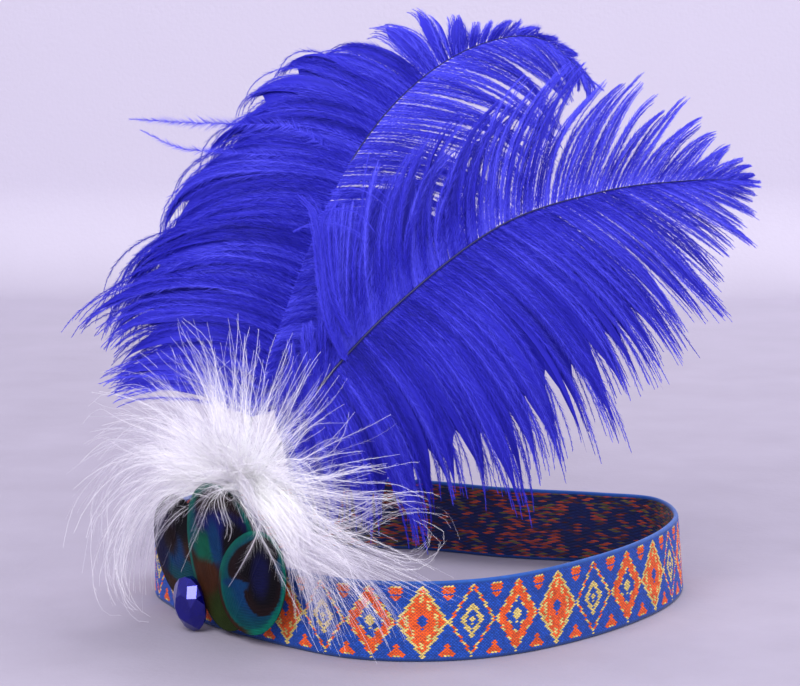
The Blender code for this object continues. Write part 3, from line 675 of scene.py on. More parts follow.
def guided_paths(curve, count, spread, rng, steps, shortest, aside, bow_share):
    """Strands along a guide line, each with its own length from the shortest share of the line's
    to the whole, moved aside by its own random step, which grows evenly between the two shares in
    aside, and bowed by another and a half sine."""
    lengths = arc_lengths(curve)
    part = np.linspace(0.0, 1.0, steps + 1)[None, :]
    here = part * rng.uniform(shortest, 1.0, count)[:, None] * lengths[-1]
    offset = rng.normal(0.0, spread, (count, 1, 3))
    bow = rng.normal(0.0, spread, (count, 1, 3)) * bow_share
    paths = read_line(curve, lengths, here)
    paths = paths + offset * (aside[0] + (aside[1] - aside[0]) * part)[..., None]
    return paths + bow * np.sin(math.pi * part)[..., None]


def stray_paths(guide, count, spread, rng):
    """Barbs that stray from a vane along a smooth guide line."""
    return guided_paths(smooth_curve(guide, GUIDE_STEPS), count, spread, rng, BARB_STEPS, 0.8,
                        (0.4, 1.4), 1.0)


def build_strays(material, settings):
    """The barbs that stray from the vanes, as a piece."""
    rng = np.random.default_rng(31)
    _, counts, _, reaches, openings, tones = zip(*STRAY_BARBS)
    paths = np.concatenate([stray_paths(*row[:3], rng) for row in STRAY_BARBS])
    strands = Strands(paths, TOWARDS_VIEWER, rng)
    strands.reaches = np.repeat(np.array(reaches), counts)
    strands.openings = np.repeat(np.array(openings), counts)
    # The strays are toned light as painted highlights along them
    tones = np.repeat(np.array(tones), counts)
    tones = tones + STRAY_TONE_SPREAD * rng.standard_normal(len(paths))
    tones = np.repeat(tones[:, None], paths.shape[1], axis=1)
    strands.shafts(*STRAY_WIDTHS, tones)
    strands.barbules(STRAY_SPACING, 1.0, STRAY_BARBULE_WIDTH * settings.barbule_width,
                     *STRAY_ANGLES, VANE_PROFILE, tones)
    points, triangles, fields = strands.mesh()
    return make_piece("plume_stray_barbs", points, triangles, material, fields)


def read_locks(grows):
    """Rows of the table of locks at angles on the head."""
    table = np.array(FLUFF_LOCKS)
    return [np.interp(grows, table[:, 0], table[:, i]) for i in (1, 2, 3)]


def angle_on_head(x, z):
    """Degrees from +X towards +Z in the front view, counted on past 180 on the lower left."""
    turn = np.degrees(np.arctan2(z, x))
    return np.where(turn < -90.0, turn + 360.0, turn)


def bend_locks(points, outward):
    """The source's own bend of straight locks: low ones come closer to the plane of the head, and
    a point turns about the middle and sinks back by the table, more the farther it is out."""
    ahead = points @ outward
    side = points - ahead[..., None] * outward
    near = np.clip(np.linalg.norm(side, axis=-1) / FLUFF_BEND_END, 0.0, 1.0)
    low = np.clip((FLUFF_LOW - side[..., 2]) / (2.0 * FLUFF_LOW), 0.0, 1.0)
    flat = side + (ahead * (1.0 - FLUFF_FLATTEN * near * low))[..., None] * outward
    x, y, z = np.moveaxis(flat, -1, 0)
    slope = -outward[0] / outward[1]
    spread = np.hypot(x, z)
    grows = angle_on_head(x, z)
    angle, _, depth = read_locks(grows)
    part = np.maximum(spread - FLUFF_BEND_START, 0.0) / (FLUFF_BEND_END - FLUFF_BEND_START)
    inside = (grows > FLUFF_LOCKS[0][0]) & (grows < FLUFF_LOCKS[-1][0])
    turned = np.radians(grows + np.where(inside, angle - grows, 0.0) * part ** 2)
    near = np.minimum(part, 1.0)
    back = depth * near ** 2 * (3.0 - 2.0 * near) - slope * x * near
    return np.stack((spread * np.cos(turned), y + back, spread * np.sin(turned)), axis=-1)


def marabou_paths(count, rng):
    """Down strands that start on the head, run straight out in a random direction and are bent as
    the locks are. Each then wanders off its line by two slow random waves."""
    outward = ROUTE.outward(FLUFF_MIDDLE[0])
    sideways = np.array((-outward[1], outward[0], 0.0))
    centre = ROUTE.point(FLUFF_MIDDLE[0], FLUFF_MIDDLE[1], FLUFF_OUT)
    tries = FLUFF_TRIES * count
    turn = rng.uniform(0.0, 2 * math.pi, tries)
    facing = rng.uniform(*FLUFF_FACING, tries)
    edge_on = np.sqrt(1.0 - facing ** 2)
    away = ((np.cos(turn) * edge_on)[:, None] * sideways
            + (np.sin(turn) * edge_on)[:, None] * UPWARD + facing[:, None] * outward)
    grows = angle_on_head(away[:, 0], away[:, 2])
    good = (grows > FLUFF_LOCKS[0][0]) & (grows < FLUFF_LOCKS[-1][0])
    good &= (facing < FLUFF_LOW_FACING) | (away[:, 2] > FLUFF_HIGH)
    good &= rng.random(tries) < np.interp(grows, *FLUFF_DENSITY)
    away, edge_on, grows = (rows[good][:count] for rows in (away, edge_on, grows))
    count = len(away)
    local = np.stack((away @ sideways, away @ outward, away[:, 2]), axis=-1)
    start = FLUFF_START / np.sqrt(((local / FLUFF_HALF) ** 2).sum(axis=1))
    shown = np.maximum(np.hypot(away[:, 0], away[:, 2]), FLUFF_SHOWN)
    reach = read_locks(grows)[1] / shown
    reach *= ((FLUFF_FACING_REACH + (1.0 - FLUFF_FACING_REACH) * edge_on ** 4)
              * rng.uniform(*FLUFF_REACH, count))
    part = np.linspace(0.0, 1.0, DOWN_STEPS + 1)[None, :]
    distance = start[:, None] + (reach - start)[:, None] * part
    paths = bend_locks(away[:, None] * distance[..., None], outward) + centre
    along = unit(np.gradient(paths, axis=1))
    across = unit(np.cross(along, TOWARDS_VIEWER))
    over = np.cross(across, along)
    for direction, size in zip((across, over), FLUFF_WANDER):
        height = rng.normal(0.0, size, count)[:, None]
        phase = rng.random(count)[:, None]
        turns = rng.uniform(*FLUFF_WAVES, count)[:, None]
        wave = np.sin(2 * math.pi * (turns * part + phase)) - np.sin(2 * math.pi * phase)
        paths = paths + direction * (height * wave * part)[..., None]
    return paths


# Wisps of down that lie where they fell: guide points as places along the band, heights and how
# far out, then the number of strands and how far they stray
FLUFF_WISPS = (
    (((34.0, 50.5, 8.0), (47.5, 47.0, 12.0), (55.0, 41.0, 13.0), (56.5, 31.5, 12.0),
      (56.0, 19.0, 9.0), (55.0, 6.0, 6.0)), 66, 2.2),
    (((34.0, 50.5, 8.0), (47.0, 46.5, 12.0), (53.5, 39.5, 13.0), (57.5, 28.0, 11.0),
      (60.5, 15.5, 8.0), (63.0, 2.5, 5.0)), 60, 2.8),
    (((34.0, 51.0, 8.0), (48.0, 46.5, 11.0), (56.0, 38.5, 12.0), (65.0, 32.0, 11.0),
      (72.0, 20.0, 9.0), (77.5, 4.0, 6.0)), 58, 3.2),
    (((33.5, 51.5, 7.0), (47.5, 47.0, 9.0), (56.0, 38.0, 10.0), (65.5, 34.5, 9.0),
      (78.0, 27.5, 8.0), (90.5, 19.5, 7.0)), 46, 3.2),
    (((32.5, 54.5, 5.0), (49.0, 58.0, 7.0), (57.0, 53.0, 9.0), (59.0, 46.0, 9.0),
      (59.5, 38.0, 8.0)), 24, 2.8),
    (((31.0, 52.5, 4.0), (52.0, 52.0, 4.0), (65.0, 51.5, 4.0), (74.5, 52.0, 3.0),
      (83.0, 47.5, 2.0)), 26, 2.2),
    (((32.5, 50.0, 4.0), (50.5, 45.0, 4.0), (63.5, 41.0, 4.0), (76.5, 48.5, 3.0),
      (88.5, 47.0, 2.0), (93.5, 37.0, 1.0)), 18, 2.4),
    (((32.5, 50.0, 4.0), (54.0, 44.0, 4.0), (67.0, 36.0, 4.0), (82.0, 31.5, 3.0),
      (88.0, 39.0, 2.0), (79.0, 45.0, 1.0)), 16, 2.2),
    (((31.5, 54.0, 9.0), (40.0, 49.5, 13.0), (43.5, 42.5, 14.0), (43.5, 35.5, 13.0)), 36, 1.6),
    (((30.5, 54.5, 9.0), (36.0, 54.0, 13.0), (41.0, 51.0, 14.0), (44.0, 46.0, 14.0)), 26, 1.2),
    (((23.0, 48.5, 4.0), (2.5, 53.0, 6.0), (-25.0, 45.5, 12.0), (-39.5, 30.0, 17.5),
      (-33.0, 14.0, 22.5)), 50, 4.2),
    (((22.5, 47.5, 5.0), (2.5, 48.5, 8.0), (-18.5, 34.0, 13.0), (-12.0, 20.0, 24.0),
      (-9.0, 11.0, 25.0), (1.0, 7.0, 27.0), (7.0, 7.5, 25.0)), 40, 2.4),
    (((23.0, 48.5, 4.0), (-3.5, 55.0, 6.0), (-32.0, 54.0, 11.0), (-38.0, 44.0, 22.0)), 46, 4.4),
    (((23.0, 47.0, 6.0), (7.0, 45.5, 10.0), (-7.0, 33.5, 14.0), (-17.0, 17.0, 13.0),
      (-19.0, 5.5, 12.0)), 44, 2.8),
    (((36.0, 49.5, 11.0), (28.5, 49.5, 14.5), (18.5, 44.5, 14.5), (7.0, 36.0, 13.5)), 4, 0.9),
    (((33.0, 50.5, 11.0), (25.0, 47.0, 15.0), (16.0, 35.0, 14.5), (3.5, 18.0, 12.5)), 3, 0.9),
    (((31.0, 51.5, 12.0), (27.0, 46.0, 14.0), (29.0, 37.0, 13.5), (26.0, 30.5, 12.5)), 4, 0.8),
    (((43.0, 42.0, 12.0), (40.0, 34.0, 13.5), (33.5, 25.5, 13.5), (27.5, 19.5, 12.5)), 2, 0.8),
    (((23.0, 50.0, 8.0), (26.5, 52.5, 11.0), (31.0, 52.5, 12.5), (36.0, 49.5, 12.5)), 30, 1.5),
    (((31.0, 50.0, 8.0), (26.5, 52.5, 11.0), (21.0, 53.5, 12.5), (15.0, 50.5, 12.0)), 28, 1.5),
)


def core_paths(count, rng):
    """Short down over the head: strands that start at random places inside it and run outward
    and away from its middle, bowing by a half sine."""
    outward = ROUTE.outward(FLUFF_MIDDLE[0])
    axes = np.stack(((-outward[1], outward[0], 0.0), outward, UPWARD))
    local = rng.normal(0.0, CORE_START_SPREAD, (count, 3)) * CORE_START
    local[:, 2] = np.abs(local[:, 2]) + CORE_LOWEST
    way = local / CORE_WAY + rng.normal(0.0, CORE_WAY_SPREAD, (count, 3))
    way[:, 1] = np.abs(way[:, 1]) + CORE_OUTWARD
    way[:, 2] = np.abs(way[:, 2]) + CORE_UPWARD
    way = unit(way)
    part = np.linspace(0.0, 1.0, DOWN_STEPS + 1)[None, :, None]
    reach = rng.uniform(*CORE_REACH, (count, 1, 1))
    bow = rng.normal(0.0, CORE_BOW, (count, 1, 3))
    inside = local[:, None] + way[:, None] * reach * part + bow * np.sin(math.pi * part)
    middle = ROUTE.point(FLUFF_MIDDLE[0], FLUFF_MIDDLE[1] + CORE_MIDDLE[0],
                         FLUFF_OUT + CORE_MIDDLE[1])
    return middle + inside @ axes


def wisp_paths(guide, count, spread, rng):
    """Down about a smooth guide line that is given along the band. Half the sum of a height and
    its hypotenuse with 3 mm, a hyperbola, keeps the strands off the floor."""
    curve = ROUTE.point(*smooth_curve(guide, GUIDE_STEPS).T)
    paths = guided_paths(curve, count, spread, rng, WISP_STEPS, 0.55, (0.65, 1.0), 0.5)
    height = paths[..., 2]
    paths[..., 2] = 0.5 * (height + np.hypot(height, FLOOR_ROUNDING)) + FLOOR_GAP
    return paths


class Graph:
    """Short ways to add nodes to a material or a group."""

    def __init__(self, tree):
        self.tree = tree

    def add(self, kind, **values):
        """A node, its own properties, and its sockets by name."""
        node = self.tree.nodes.new(kind)
        for key, value in values.items():
            if hasattr(node, key):
                setattr(node, key, value)
            else:
                self.feed(node.inputs[key.replace("_", " ")], value)
        return node

    def feed(self, socket, value):
        """Link an output to a socket, or set the socket's own value."""
        if isinstance(value, bpy.types.NodeSocket):
            self.tree.links.new(value, socket)
        else:
            socket.default_value = value

    def math(self, operation, *values):
        """The output of a Math node."""
        node = self.tree.nodes.new("ShaderNodeMath")
        node.operation = operation
        for socket, value in zip(node.inputs, values):
            self.feed(socket, value)
        return node.outputs[0]

    def mix(self, factor, first, second, blend="MIX"):
        """The output of a colour Mix node, whose sockets are found by number."""
        node = self.tree.nodes.new("ShaderNodeMix")
        node.data_type = "RGBA"
        node.blend_type = blend
        self.feed(node.inputs[0], factor)
        self.feed(node.inputs[6], first)
        self.feed(node.inputs[7], second)
        return node.outputs[2]

    def read(self, label, colour=False):
        """A named field of the piece."""
        node = self.tree.nodes.new("ShaderNodeAttribute")
        node.attribute_name = label
        return node.outputs["Color" if colour else "Fac"]

    def place(self):
        """Object coordinates."""
        return self.tree.nodes.new("ShaderNodeTexCoord").outputs["Object"]

    def dim(self, colour, value):
        """A colour times a value."""
        combine = self.tree.nodes.new("ShaderNodeCombineColor")
        for socket in combine.inputs:
            self.feed(socket, value)
        return self.mix(1.0, colour, combine.outputs[0], "MULTIPLY")

    def noise(self, scale, detail=2.0):
        """A noise texture's value at Object coordinates."""
        return self.add("ShaderNodeTexNoise", Vector=self.place(), Scale=scale,
                        Detail=detail).outputs["Fac"]


def new_group(name, inputs, outputs):
    """An empty shader node group with named sockets, and its two end nodes."""
    tree = bpy.data.node_groups.new(name, "ShaderNodeTree")
    for label, kind, default in inputs:
        socket = tree.interface.new_socket(label, in_out="INPUT", socket_type=kind)
        if default is not None:
            socket.default_value = default
    for label, kind in outputs:
        tree.interface.new_socket(label, in_out="OUTPUT", socket_type=kind)
    graph = Graph(tree)
    return graph, tree.nodes.new("NodeGroupInput"), tree.nodes.new("NodeGroupOutput")


def feather_tint_group():
    """Tone from 0 to 1 runs from shade through body to light, and a slow noise shifts it."""
    graph, start, end = new_group(
        "feather_tint",
        (("Tone", "NodeSocketFloat", 0.5), ("Shade", "NodeSocketColor", None),
         ("Body", "NodeSocketColor", None), ("Light", "NodeSocketColor", None),
         ("Patch Size", "NodeSocketFloat", 60.0), ("Patch Amount", "NodeSocketFloat", 0.2)),
        (("Color", "NodeSocketColor"),))
    patch = graph.math("SUBTRACT", graph.noise(start.outputs["Patch Size"]), 0.5)
    patch = graph.math("MULTIPLY", patch, start.outputs["Patch Amount"])
    tone = graph.math("ADD", start.outputs["Tone"], patch)
    low = graph.math("MULTIPLY", tone, 2.0)
    high = graph.math("SUBTRACT", low, 1.0)
    dark = graph.mix(low, start.outputs["Shade"], start.outputs["Body"])
    graph.feed(end.inputs["Color"], graph.mix(high, dark, start.outputs["Light"]))
    return graph.tree


def grain_group():
    """Fine grain of a surface: two noises of Object coordinates, as a height and a mask."""
    graph, start, end = new_group(
        "fine_grain",
        (("Scale", "NodeSocketFloat", 800.0), ("Coarse Scale", "NodeSocketFloat", 90.0)),
        (("Height", "NodeSocketFloat"), ("Mask", "NodeSocketFloat")))
    for output, label in (("Height", "Scale"), ("Mask", "Coarse Scale")):
        graph.feed(end.inputs[output], graph.noise(start.outputs[label], 3.0))
    return graph.tree


GROUP_MAKERS = {"feather_tint": feather_tint_group, "fine_grain": grain_group}


def use_group(graph, name, **values):
    """A copy of a shared node group with its own values. The first use makes the group."""
    node = graph.tree.nodes.new("ShaderNodeGroup")
    node.node_tree = bpy.data.node_groups.get(name) or GROUP_MAKERS[name]()
    for key, value in values.items():
        graph.feed(node.inputs[key.replace("_", " ")], value)
    return node


def new_material(name, **sockets):
    """A material with a Principled BSDF, its graph, and plain values on the shader's sockets."""
    material = bpy.data.materials.new(name)
    material.use_nodes = True
    graph = Graph(material.node_tree)
    shader = material.node_tree.nodes["Principled BSDF"]
    for key, value in sockets.items():
        graph.feed(shader.inputs[key.replace("_", " ")], value)
    return material, graph, shader


def opaque(colour, times=1.0):
    """A colour, made so many times as bright, with its alpha."""
    return (*(min(1.0, times * part) for part in colour), 1.0)


def bump(graph, shader, height, distance, strength=1.0):
    """Put a Bump node on the shader's normal."""
    node = graph.tree.nodes.new("ShaderNodeBump")
    node.inputs["Strength"].default_value = strength
    node.inputs["Distance"].default_value = distance
    graph.feed(node.inputs["Height"], height)
    graph.feed(shader.inputs["Normal"], node.outputs["Normal"])


def feather_material(name, shade, body, light, patch_size, patch_amount, roughness, sheen):
    """Soft feather: colour from the barb's tone, with a sheen of its light colour."""
    material, graph, shader = new_material(
        name, Roughness=roughness, Sheen_Weight=sheen, Sheen_Roughness=0.4,
        Sheen_Tint=opaque(light), Specular_IOR_Level=0.25)
    tint = use_group(graph, "feather_tint", Tone=graph.read("tone"), Shade=opaque(shade),
                     Body=opaque(body), Light=opaque(light), Patch_Size=patch_size,
                     Patch_Amount=patch_amount)
    graph.feed(shader.inputs["Base Color"], tint.outputs["Color"])
    return material


def colour_property(name, description, default):
    """A linear colour property."""
    return FloatVectorProperty(name=name, description=description, default=default,
                               subtype="COLOR", min=0.0, max=1.0)


def power_property(name, description, default):
    """The power of a light."""
    return FloatProperty(name=name, description=description, default=default, min=0.0,
                         unit="POWER")


class PlumeSettings(bpy.types.PropertyGroup):
    barbs: IntProperty(
        name="Barbs", description="Barbs of each vane", default=400, min=40, max=600)
    barbule_length: FloatProperty(
        name="Barbule length", description="Length of a barbule in millimetres", default=3.8,
        min=0.5, max=8.0)
    barbule_width: FloatProperty(
        name="Barbule width", description="Width of a barbule at its root in millimetres",
        default=0.40, min=0.05, max=1.0)
    # shade and light dyes also carry the barbs' painted shade and painted light
    shade: colour_property("Shade", "Dye in the darkest barbs", (0.005, 0.004, 0.27))
    body: colour_property("Body", "Dye of the plumes", (0.025, 0.021, 0.56))
    light: colour_property("Light", "Dye in the thinnest barbs", (0.090, 0.088, 0.86))


class MarabouSettings(bpy.types.PropertyGroup):
    strands: IntProperty(
        name="Strands", description="Strands of down in the fan", default=540, min=50, max=1500)
    core: IntProperty(
        name="Core", description="Short strands over the head", default=430, min=0, max=2000)
    white: colour_property("White", "Colour of the down", (0.96, 0.925, 1.0))


class BandSettings(bpy.types.PropertyGroup):
    blue: colour_property("Blue thread", "Ground of the weave", (0.006, 0.078, 0.50))
    orange: colour_property("Orange thread", "Thread of the diamonds", (1.0, 0.125, 0.006))
    yellow: colour_property("Yellow thread", "Thread of the outlines", (0.88, 0.66, 0.20))


class OrnamentSettings(bpy.types.PropertyGroup):
    gem: colour_property("Gem", "Colour of the gem", (0.003, 0.002, 0.17))
    felt: colour_property("Felt", "Colour of the pad", (0.012, 0.014, 0.05))


class StageSettings(bpy.types.PropertyGroup):
    floor: colour_property("Floor", "Colour of the floor", (0.345, 0.312, 0.40))
    wall: colour_property("Wall", "Colour of the backdrop", (0.645, 0.60, 0.735))
    key: power_property("Key light", "Power of the main light", 16.0)
    front: power_property("Front light", "Power of the light that glints on the gem", 1.3)
    fill: power_property("Fill light", "Power of the side light", 7.0)
    back: power_property("Back light", "Power of the light from behind", 9.0)


class HEADBAND_OT_plumes(bpy.types.Operator):
    """Make the two ostrich plumes: a quill each, with two vanes of barbs and barbules"""
    bl_idname = "headband.plumes"
    bl_label = "Plumes"

    def execute(self, context):
        settings = context.scene.headband_plumes
        dye = feather_material("ostrich_blue", settings.shade, settings.body, settings.light,
                               patch_size=55.0, patch_amount=0.25, roughness=0.6, sheen=0.25)
        quill_dye = new_material("quill_navy", Base_Color=opaque((0.004, 0.004, 0.09)),
                                 Roughness=0.4)[0]
        front = quill_curve(FRONT_ROOT, FRONT_QUILL)
        rear = quill_curve(REAR_ROOT, REAR_QUILL)
        upper, _, left, _ = (
            build_vane(name, front if "front" in name else rear, *row, dye, settings)
            for name, row in VANES.items())
        build_strays(dye, settings)
        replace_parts(upper, "plume_front")
        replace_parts(left, "plume_rear")
        # Name, curve, thickness at the root, and where and how far it comes out of its vanes
        for name, quill, thick, places, depths in (
                ("quill_front", front, 0.46, (0.20, 0.27), (-6.0, 0.5)),
                ("quill_rear", rear, 0.34, (0.50, 0.58), (-2.5, 0.4))):
            part = np.linspace(0.0, 1.0, QUILL_RINGS)
            depth = np.interp(part, places, depths)
            curve = quill(part) + TOWARDS_VIEWER * depth[:, None]
            points, triangles = tube(curve, thick * (1.0 - QUILL_TAPER * part))
            make_piece(name, points, triangles, quill_dye)
        return {"FINISHED"}


DOWN_SHADE = (0.38, 0.36, 0.47)
DOWN_FACING_SPREAD = 0.5
# Tones of down: the usual one, its spread, and what is added in the core, in shafts and near roots,
# from nothing at the second part of a strand to the whole at the first. What is added in the core
# and near roots is painted light, a glow of the down's middle.
DOWN_TONE = 0.26
DOWN_TONE_SPREAD = 0.12
CORE_PAINTED_LIGHT = 0.22
DOWN_SHAFT_LIGHTER = 0.1
DOWN_ROOT_PAINTED_LIGHT = 0.66
DOWN_ROOT_PARTS = (0.1, 0.75)
# Widths of shafts; spacing, reach and width of barbules, their angle and its spread, how far they
# turn round the shaft, and their reach by the part of the strand
DOWN_WIDTHS = (0.12, 0.05)
DOWN_BARBULES = (0.34, 5.0, 0.09, 25.0, 9.0)
DOWN_LIFT = 0.9
DOWN_PROFILE = ((0.0, 0.1, 0.35, 0.6, 0.8, 1.0), (0.5, 0.9, 1.0, 0.7, 0.4, 0.15))


class HEADBAND_OT_marabou(bpy.types.Operator):
    """Make the fan of marabou: strands of down that grow from its head"""
    bl_idname = "headband.marabou"
    bl_label = "Marabou"

    def execute(self, context):
        settings = context.scene.headband_marabou
        white = tuple(settings.white)
        shade = tuple(np.array(white) * DOWN_SHADE)
        down = feather_material("marabou_white", shade, white, (1.0, 1.0, 1.0),
                                patch_size=90.0, patch_amount=0.25, roughness=0.8, sheen=0.2)
        rng = np.random.default_rng(21)
        fan = marabou_paths(settings.strands, rng)
        core = core_paths(settings.core, rng)
        # The core's strands are toned lighter as painted light, a glow of the down
        bright = np.repeat((0.0, CORE_PAINTED_LIGHT), (len(fan), len(core)))
        fan = np.concatenate((fan, core))
        wisps = np.concatenate([wisp_paths(*row, rng) for row in FLUFF_WISPS])
        for name, paths, own in (("marabou_fan", fan, bright), ("marabou_wisps", wisps, 0.0)):
            part = np.linspace(0.0, 1.0, paths.shape[1])[None, :]
            facing = rng.normal(0.0, DOWN_FACING_SPREAD, (len(paths), 1, 3)) + TOWARDS_VIEWER
            strands = Strands(paths, unit(facing), rng)
            tones = DOWN_TONE + own + DOWN_TONE_SPREAD * rng.standard_normal(len(paths))
            # Roots are toned lighter as painted light, fading out along the strand
            root = 1.0 - smoothstep(*DOWN_ROOT_PARTS, part)
            tones = tones[:, None] + DOWN_ROOT_PAINTED_LIGHT * root
            strands.shafts(*DOWN_WIDTHS, tones + DOWN_SHAFT_LIGHTER)
            strands.barbules(*DOWN_BARBULES, DOWN_PROFILE, tones, lift=DOWN_LIFT)
            points, triangles, fields = strands.mesh()
            piece = make_piece(name, points, triangles, down, fields)
            if name == "marabou_fan":
                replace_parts(piece, "marabou")
        return {"FINISHED"}


# The weave: arc lengths of the middles of its first motifs, how many motifs go round the band, and
# the plain height at each edge
WEAVE_STATIONS = (84.0, 98.7, 113.6, 129.5, 146.2, 164.8, 183.3)
MOTIFS_ROUND = 33
SELVEDGE = 1.0
BLUE, ORANGE, YELLOW = range(3)
# Its stitches: columns and rows, how far out the corners and the middle are, half the length and
# half the height as shares of a column and of a row, slant, wear, and shades of the five points:
# painted shade at the four corners and a painted highlight on the raised middle
COLUMNS_PER_MOTIF = 14
STITCH_ROWS = 46
STITCH_OUT = (-0.22, 0.10)
STITCH_SHARES = (0.60, 0.74)
STITCH_SLANT = 0.30
STITCH_WEAR = (0.72, 1.15)
STITCH_PAINTED_SHADING = np.array((0.78, 0.78, 0.78, 0.78, 1.12))
# Loose threads inside: the same numbers, the length of a motif, colours of blue, orange, yellow
# and brown thread, and how often each is drawn where the chart has its ground and elsewhere
LOOSE_ROWS = 42
LOOSE_COLUMNS = 170
LOOSE_OUT = (-1.30, -1.52)
LOOSE_SHARE = 0.62
LOOSE_SLANT = 0.06
LOOSE_WEAR = (0.6, 1.3)
LOOSE_MOTIF = 15.5
LOOSE_COLOURS = np.array((
    (0.001, 0.005, 0.070), (0.42, 0.050, 0.004), (0.13, 0.095, 0.014), (0.085, 0.012, 0.008)))
GROUND_SHARES = (0.25, 0.36, 0.22, 0.17)
BLUE_SHARE = 0.82
BROWN = 3


def weave_place(column):
    """Arc length at columns of the weave, counted from the first station's motif middle."""
    count = np.append(np.arange(len(WEAVE_STATIONS)), MOTIFS_ROUND)
    place = np.append(WEAVE_STATIONS, WEAVE_STATIONS[0] + ROUTE.length)
    return np.interp(np.asarray(column) / COLUMNS_PER_MOTIF, count, place)


def woven_chart(across, up):
    """Thread at places of the weave. across counts motifs, and up runs from -1 to 1. Each motif is
    a diamond: rings of |across| + |up| change the thread, and small hearts stand between motifs
    at both edges."""
    kind = np.mod(np.round(across), 3)
    side = np.abs(across - np.round(across)) * 2
    d = side + np.abs(up)
    dots = np.mod(np.floor(across * COLUMNS_PER_MOTIF) + np.floor(up * STITCH_ROWS / 2), 2)
    solid = np.select((d < 0.22, d < 0.58, d < 0.78, d < 0.88, d < 1.03),
                      (BLUE, ORANGE, np.where(dots > 0, YELLOW, ORANGE), ORANGE, YELLOW), BLUE)
    fine = np.select((d < 0.12, d < 0.30, d < 0.50, d < 0.86, d < 1.0),
                     (YELLOW, BLUE, YELLOW, BLUE, np.where(dots > 0, YELLOW, ORANGE)), BLUE)
    ring = np.select((d < 0.22, d < 0.44, d < 0.54, d < 0.86, d < 1.0),
                     (YELLOW, BLUE, np.where(dots > 0, YELLOW, BLUE), ORANGE,
                      np.where(dots > 0, YELLOW, ORANGE)), BLUE)
    thread = np.select((kind == 0, kind == 1), (solid, fine), ring)
    from_edge = 1.0 - np.abs(up)
    between = 1.0 - side
    heart = (from_edge > 0.03) & (between < 0.30 - 1.1 * np.abs(from_edge - 0.12))
    heart &= (from_edge < 0.26)
    bead = (np.abs(from_edge - 0.33) + between * 0.6) < 0.09
    cap = heart & (from_edge < 0.10) & (between < 0.16)
    thread = np.where(heart | bead, ORANGE, thread)
    return np.where(cap, YELLOW, thread)


def stitch_grid(rows, columns):
    """Stitches row by row, with each second row half a column on: their columns, rows, heights and
    places from -1 to 1 up the band, and the height of a row."""
    row, column = np.meshgrid(np.arange(rows), np.arange(columns), indexing="ij")
    column = (column + 0.5 * (row % 2)).ravel()
    row = row.ravel()
    row_height = (BAND_HEIGHT - 2 * SELVEDGE) / rows
    height = SELVEDGE + (row + 0.5) * row_height
    return column, row, height, 2.0 * (row + 0.5) / rows - 1.0, row_height


def lozenges(name, along, height, half_along, half_height, slant, out, colours, material):
    """A piece of raised stitches on the band: four triangles from the corners of each slanted
    lozenge to its middle, which stands farther from the band than the corners."""
    shift = slant * half_along
    corners = ((-half_along, 0.0), (shift, -half_height), (half_along, 0.0), (-shift, half_height))
    points = [ROUTE.point(along + a, height + h, out[0]) for a, h in corners]
    points.append(ROUTE.point(along, height, out[1]))
    points = np.stack(points, axis=1)
    order = np.array(((0, 1, 4), (1, 2, 4), (2, 3, 4), (3, 0, 4)))
    if out[1] < out[0]:
        order = order[:, ::-1]
    triangles = np.arange(len(along))[:, None, None] * points.shape[1] + order
    return make_piece(name, points, triangles, material,
                      {"thread": colours.reshape(-1, 3)})


# Lower half of the band's section without its stitches: height and how far out, from the web's
# outer side round the edge cord to its inner side
BAND_PROFILE = ((1.35, -0.28), (1.10, -0.06), (0.70, 0.0), (0.25, -0.20), (0.0, -0.72),
                (0.25, -1.25), (0.70, -1.45), (1.10, -1.40), (1.35, -1.25))
CORE_STEPS = 480
# Colour of the cords, and how far from its edge the band starts and ends to take it
CORD_BLUE = np.array((0.005, 0.072, 0.35))
CORD_START = 1.4
CORD_END = 0.9


def woven_material():
    """Thread: the piece's own colours, worn by a coarse grain, with a fine grain in its bump."""
    thread, graph, shader = new_material(
        "woven_threads", Roughness=0.62, Specular_IOR_Level=0.35, Sheen_Weight=0.15,
        Sheen_Roughness=0.5)
    grain = use_group(graph, "fine_grain", Scale=2200.0, Coarse_Scale=400.0)
    worn = graph.math("MULTIPLY_ADD", grain.outputs["Mask"], 0.7, 0.62)
    graph.feed(shader.inputs["Base Color"], graph.dim(graph.read("thread", colour=True), worn))
    bump(graph, shader, grain.outputs["Height"], 0.00008, 0.6)
    return thread


def build_weave(thread, colours, rng):
    """The outer face: raised stitches in the chart's colours, painted darker at their corners and
    lighter at their raised middles, as painted shade and highlight.
    """
    columns = MOTIFS_ROUND * COLUMNS_PER_MOTIF
    column, row, height, up, row_height = stitch_grid(STITCH_ROWS, columns)
    start = np.mod(column, columns - 1)
    wide = weave_place(start + 1.0) - weave_place(start)
    chart = woven_chart(column / COLUMNS_PER_MOTIF, up)
    slant = np.where(row % 2 > 0, STITCH_SLANT, -STITCH_SLANT)
    tint = colours[chart] * rng.uniform(*STITCH_WEAR, (len(chart), 1))
    # Corners darker and raised middle lighter: painted shade and painted highlight
    tint = tint[:, None] * STITCH_PAINTED_SHADING[:, None]
    half_along = STITCH_SHARES[0] * wide
    half_height = STITCH_SHARES[1] * row_height
    return lozenges("band_weave", weave_place(np.mod(column, columns)), height, half_along,
                    half_height, slant, STITCH_OUT, tint, thread)


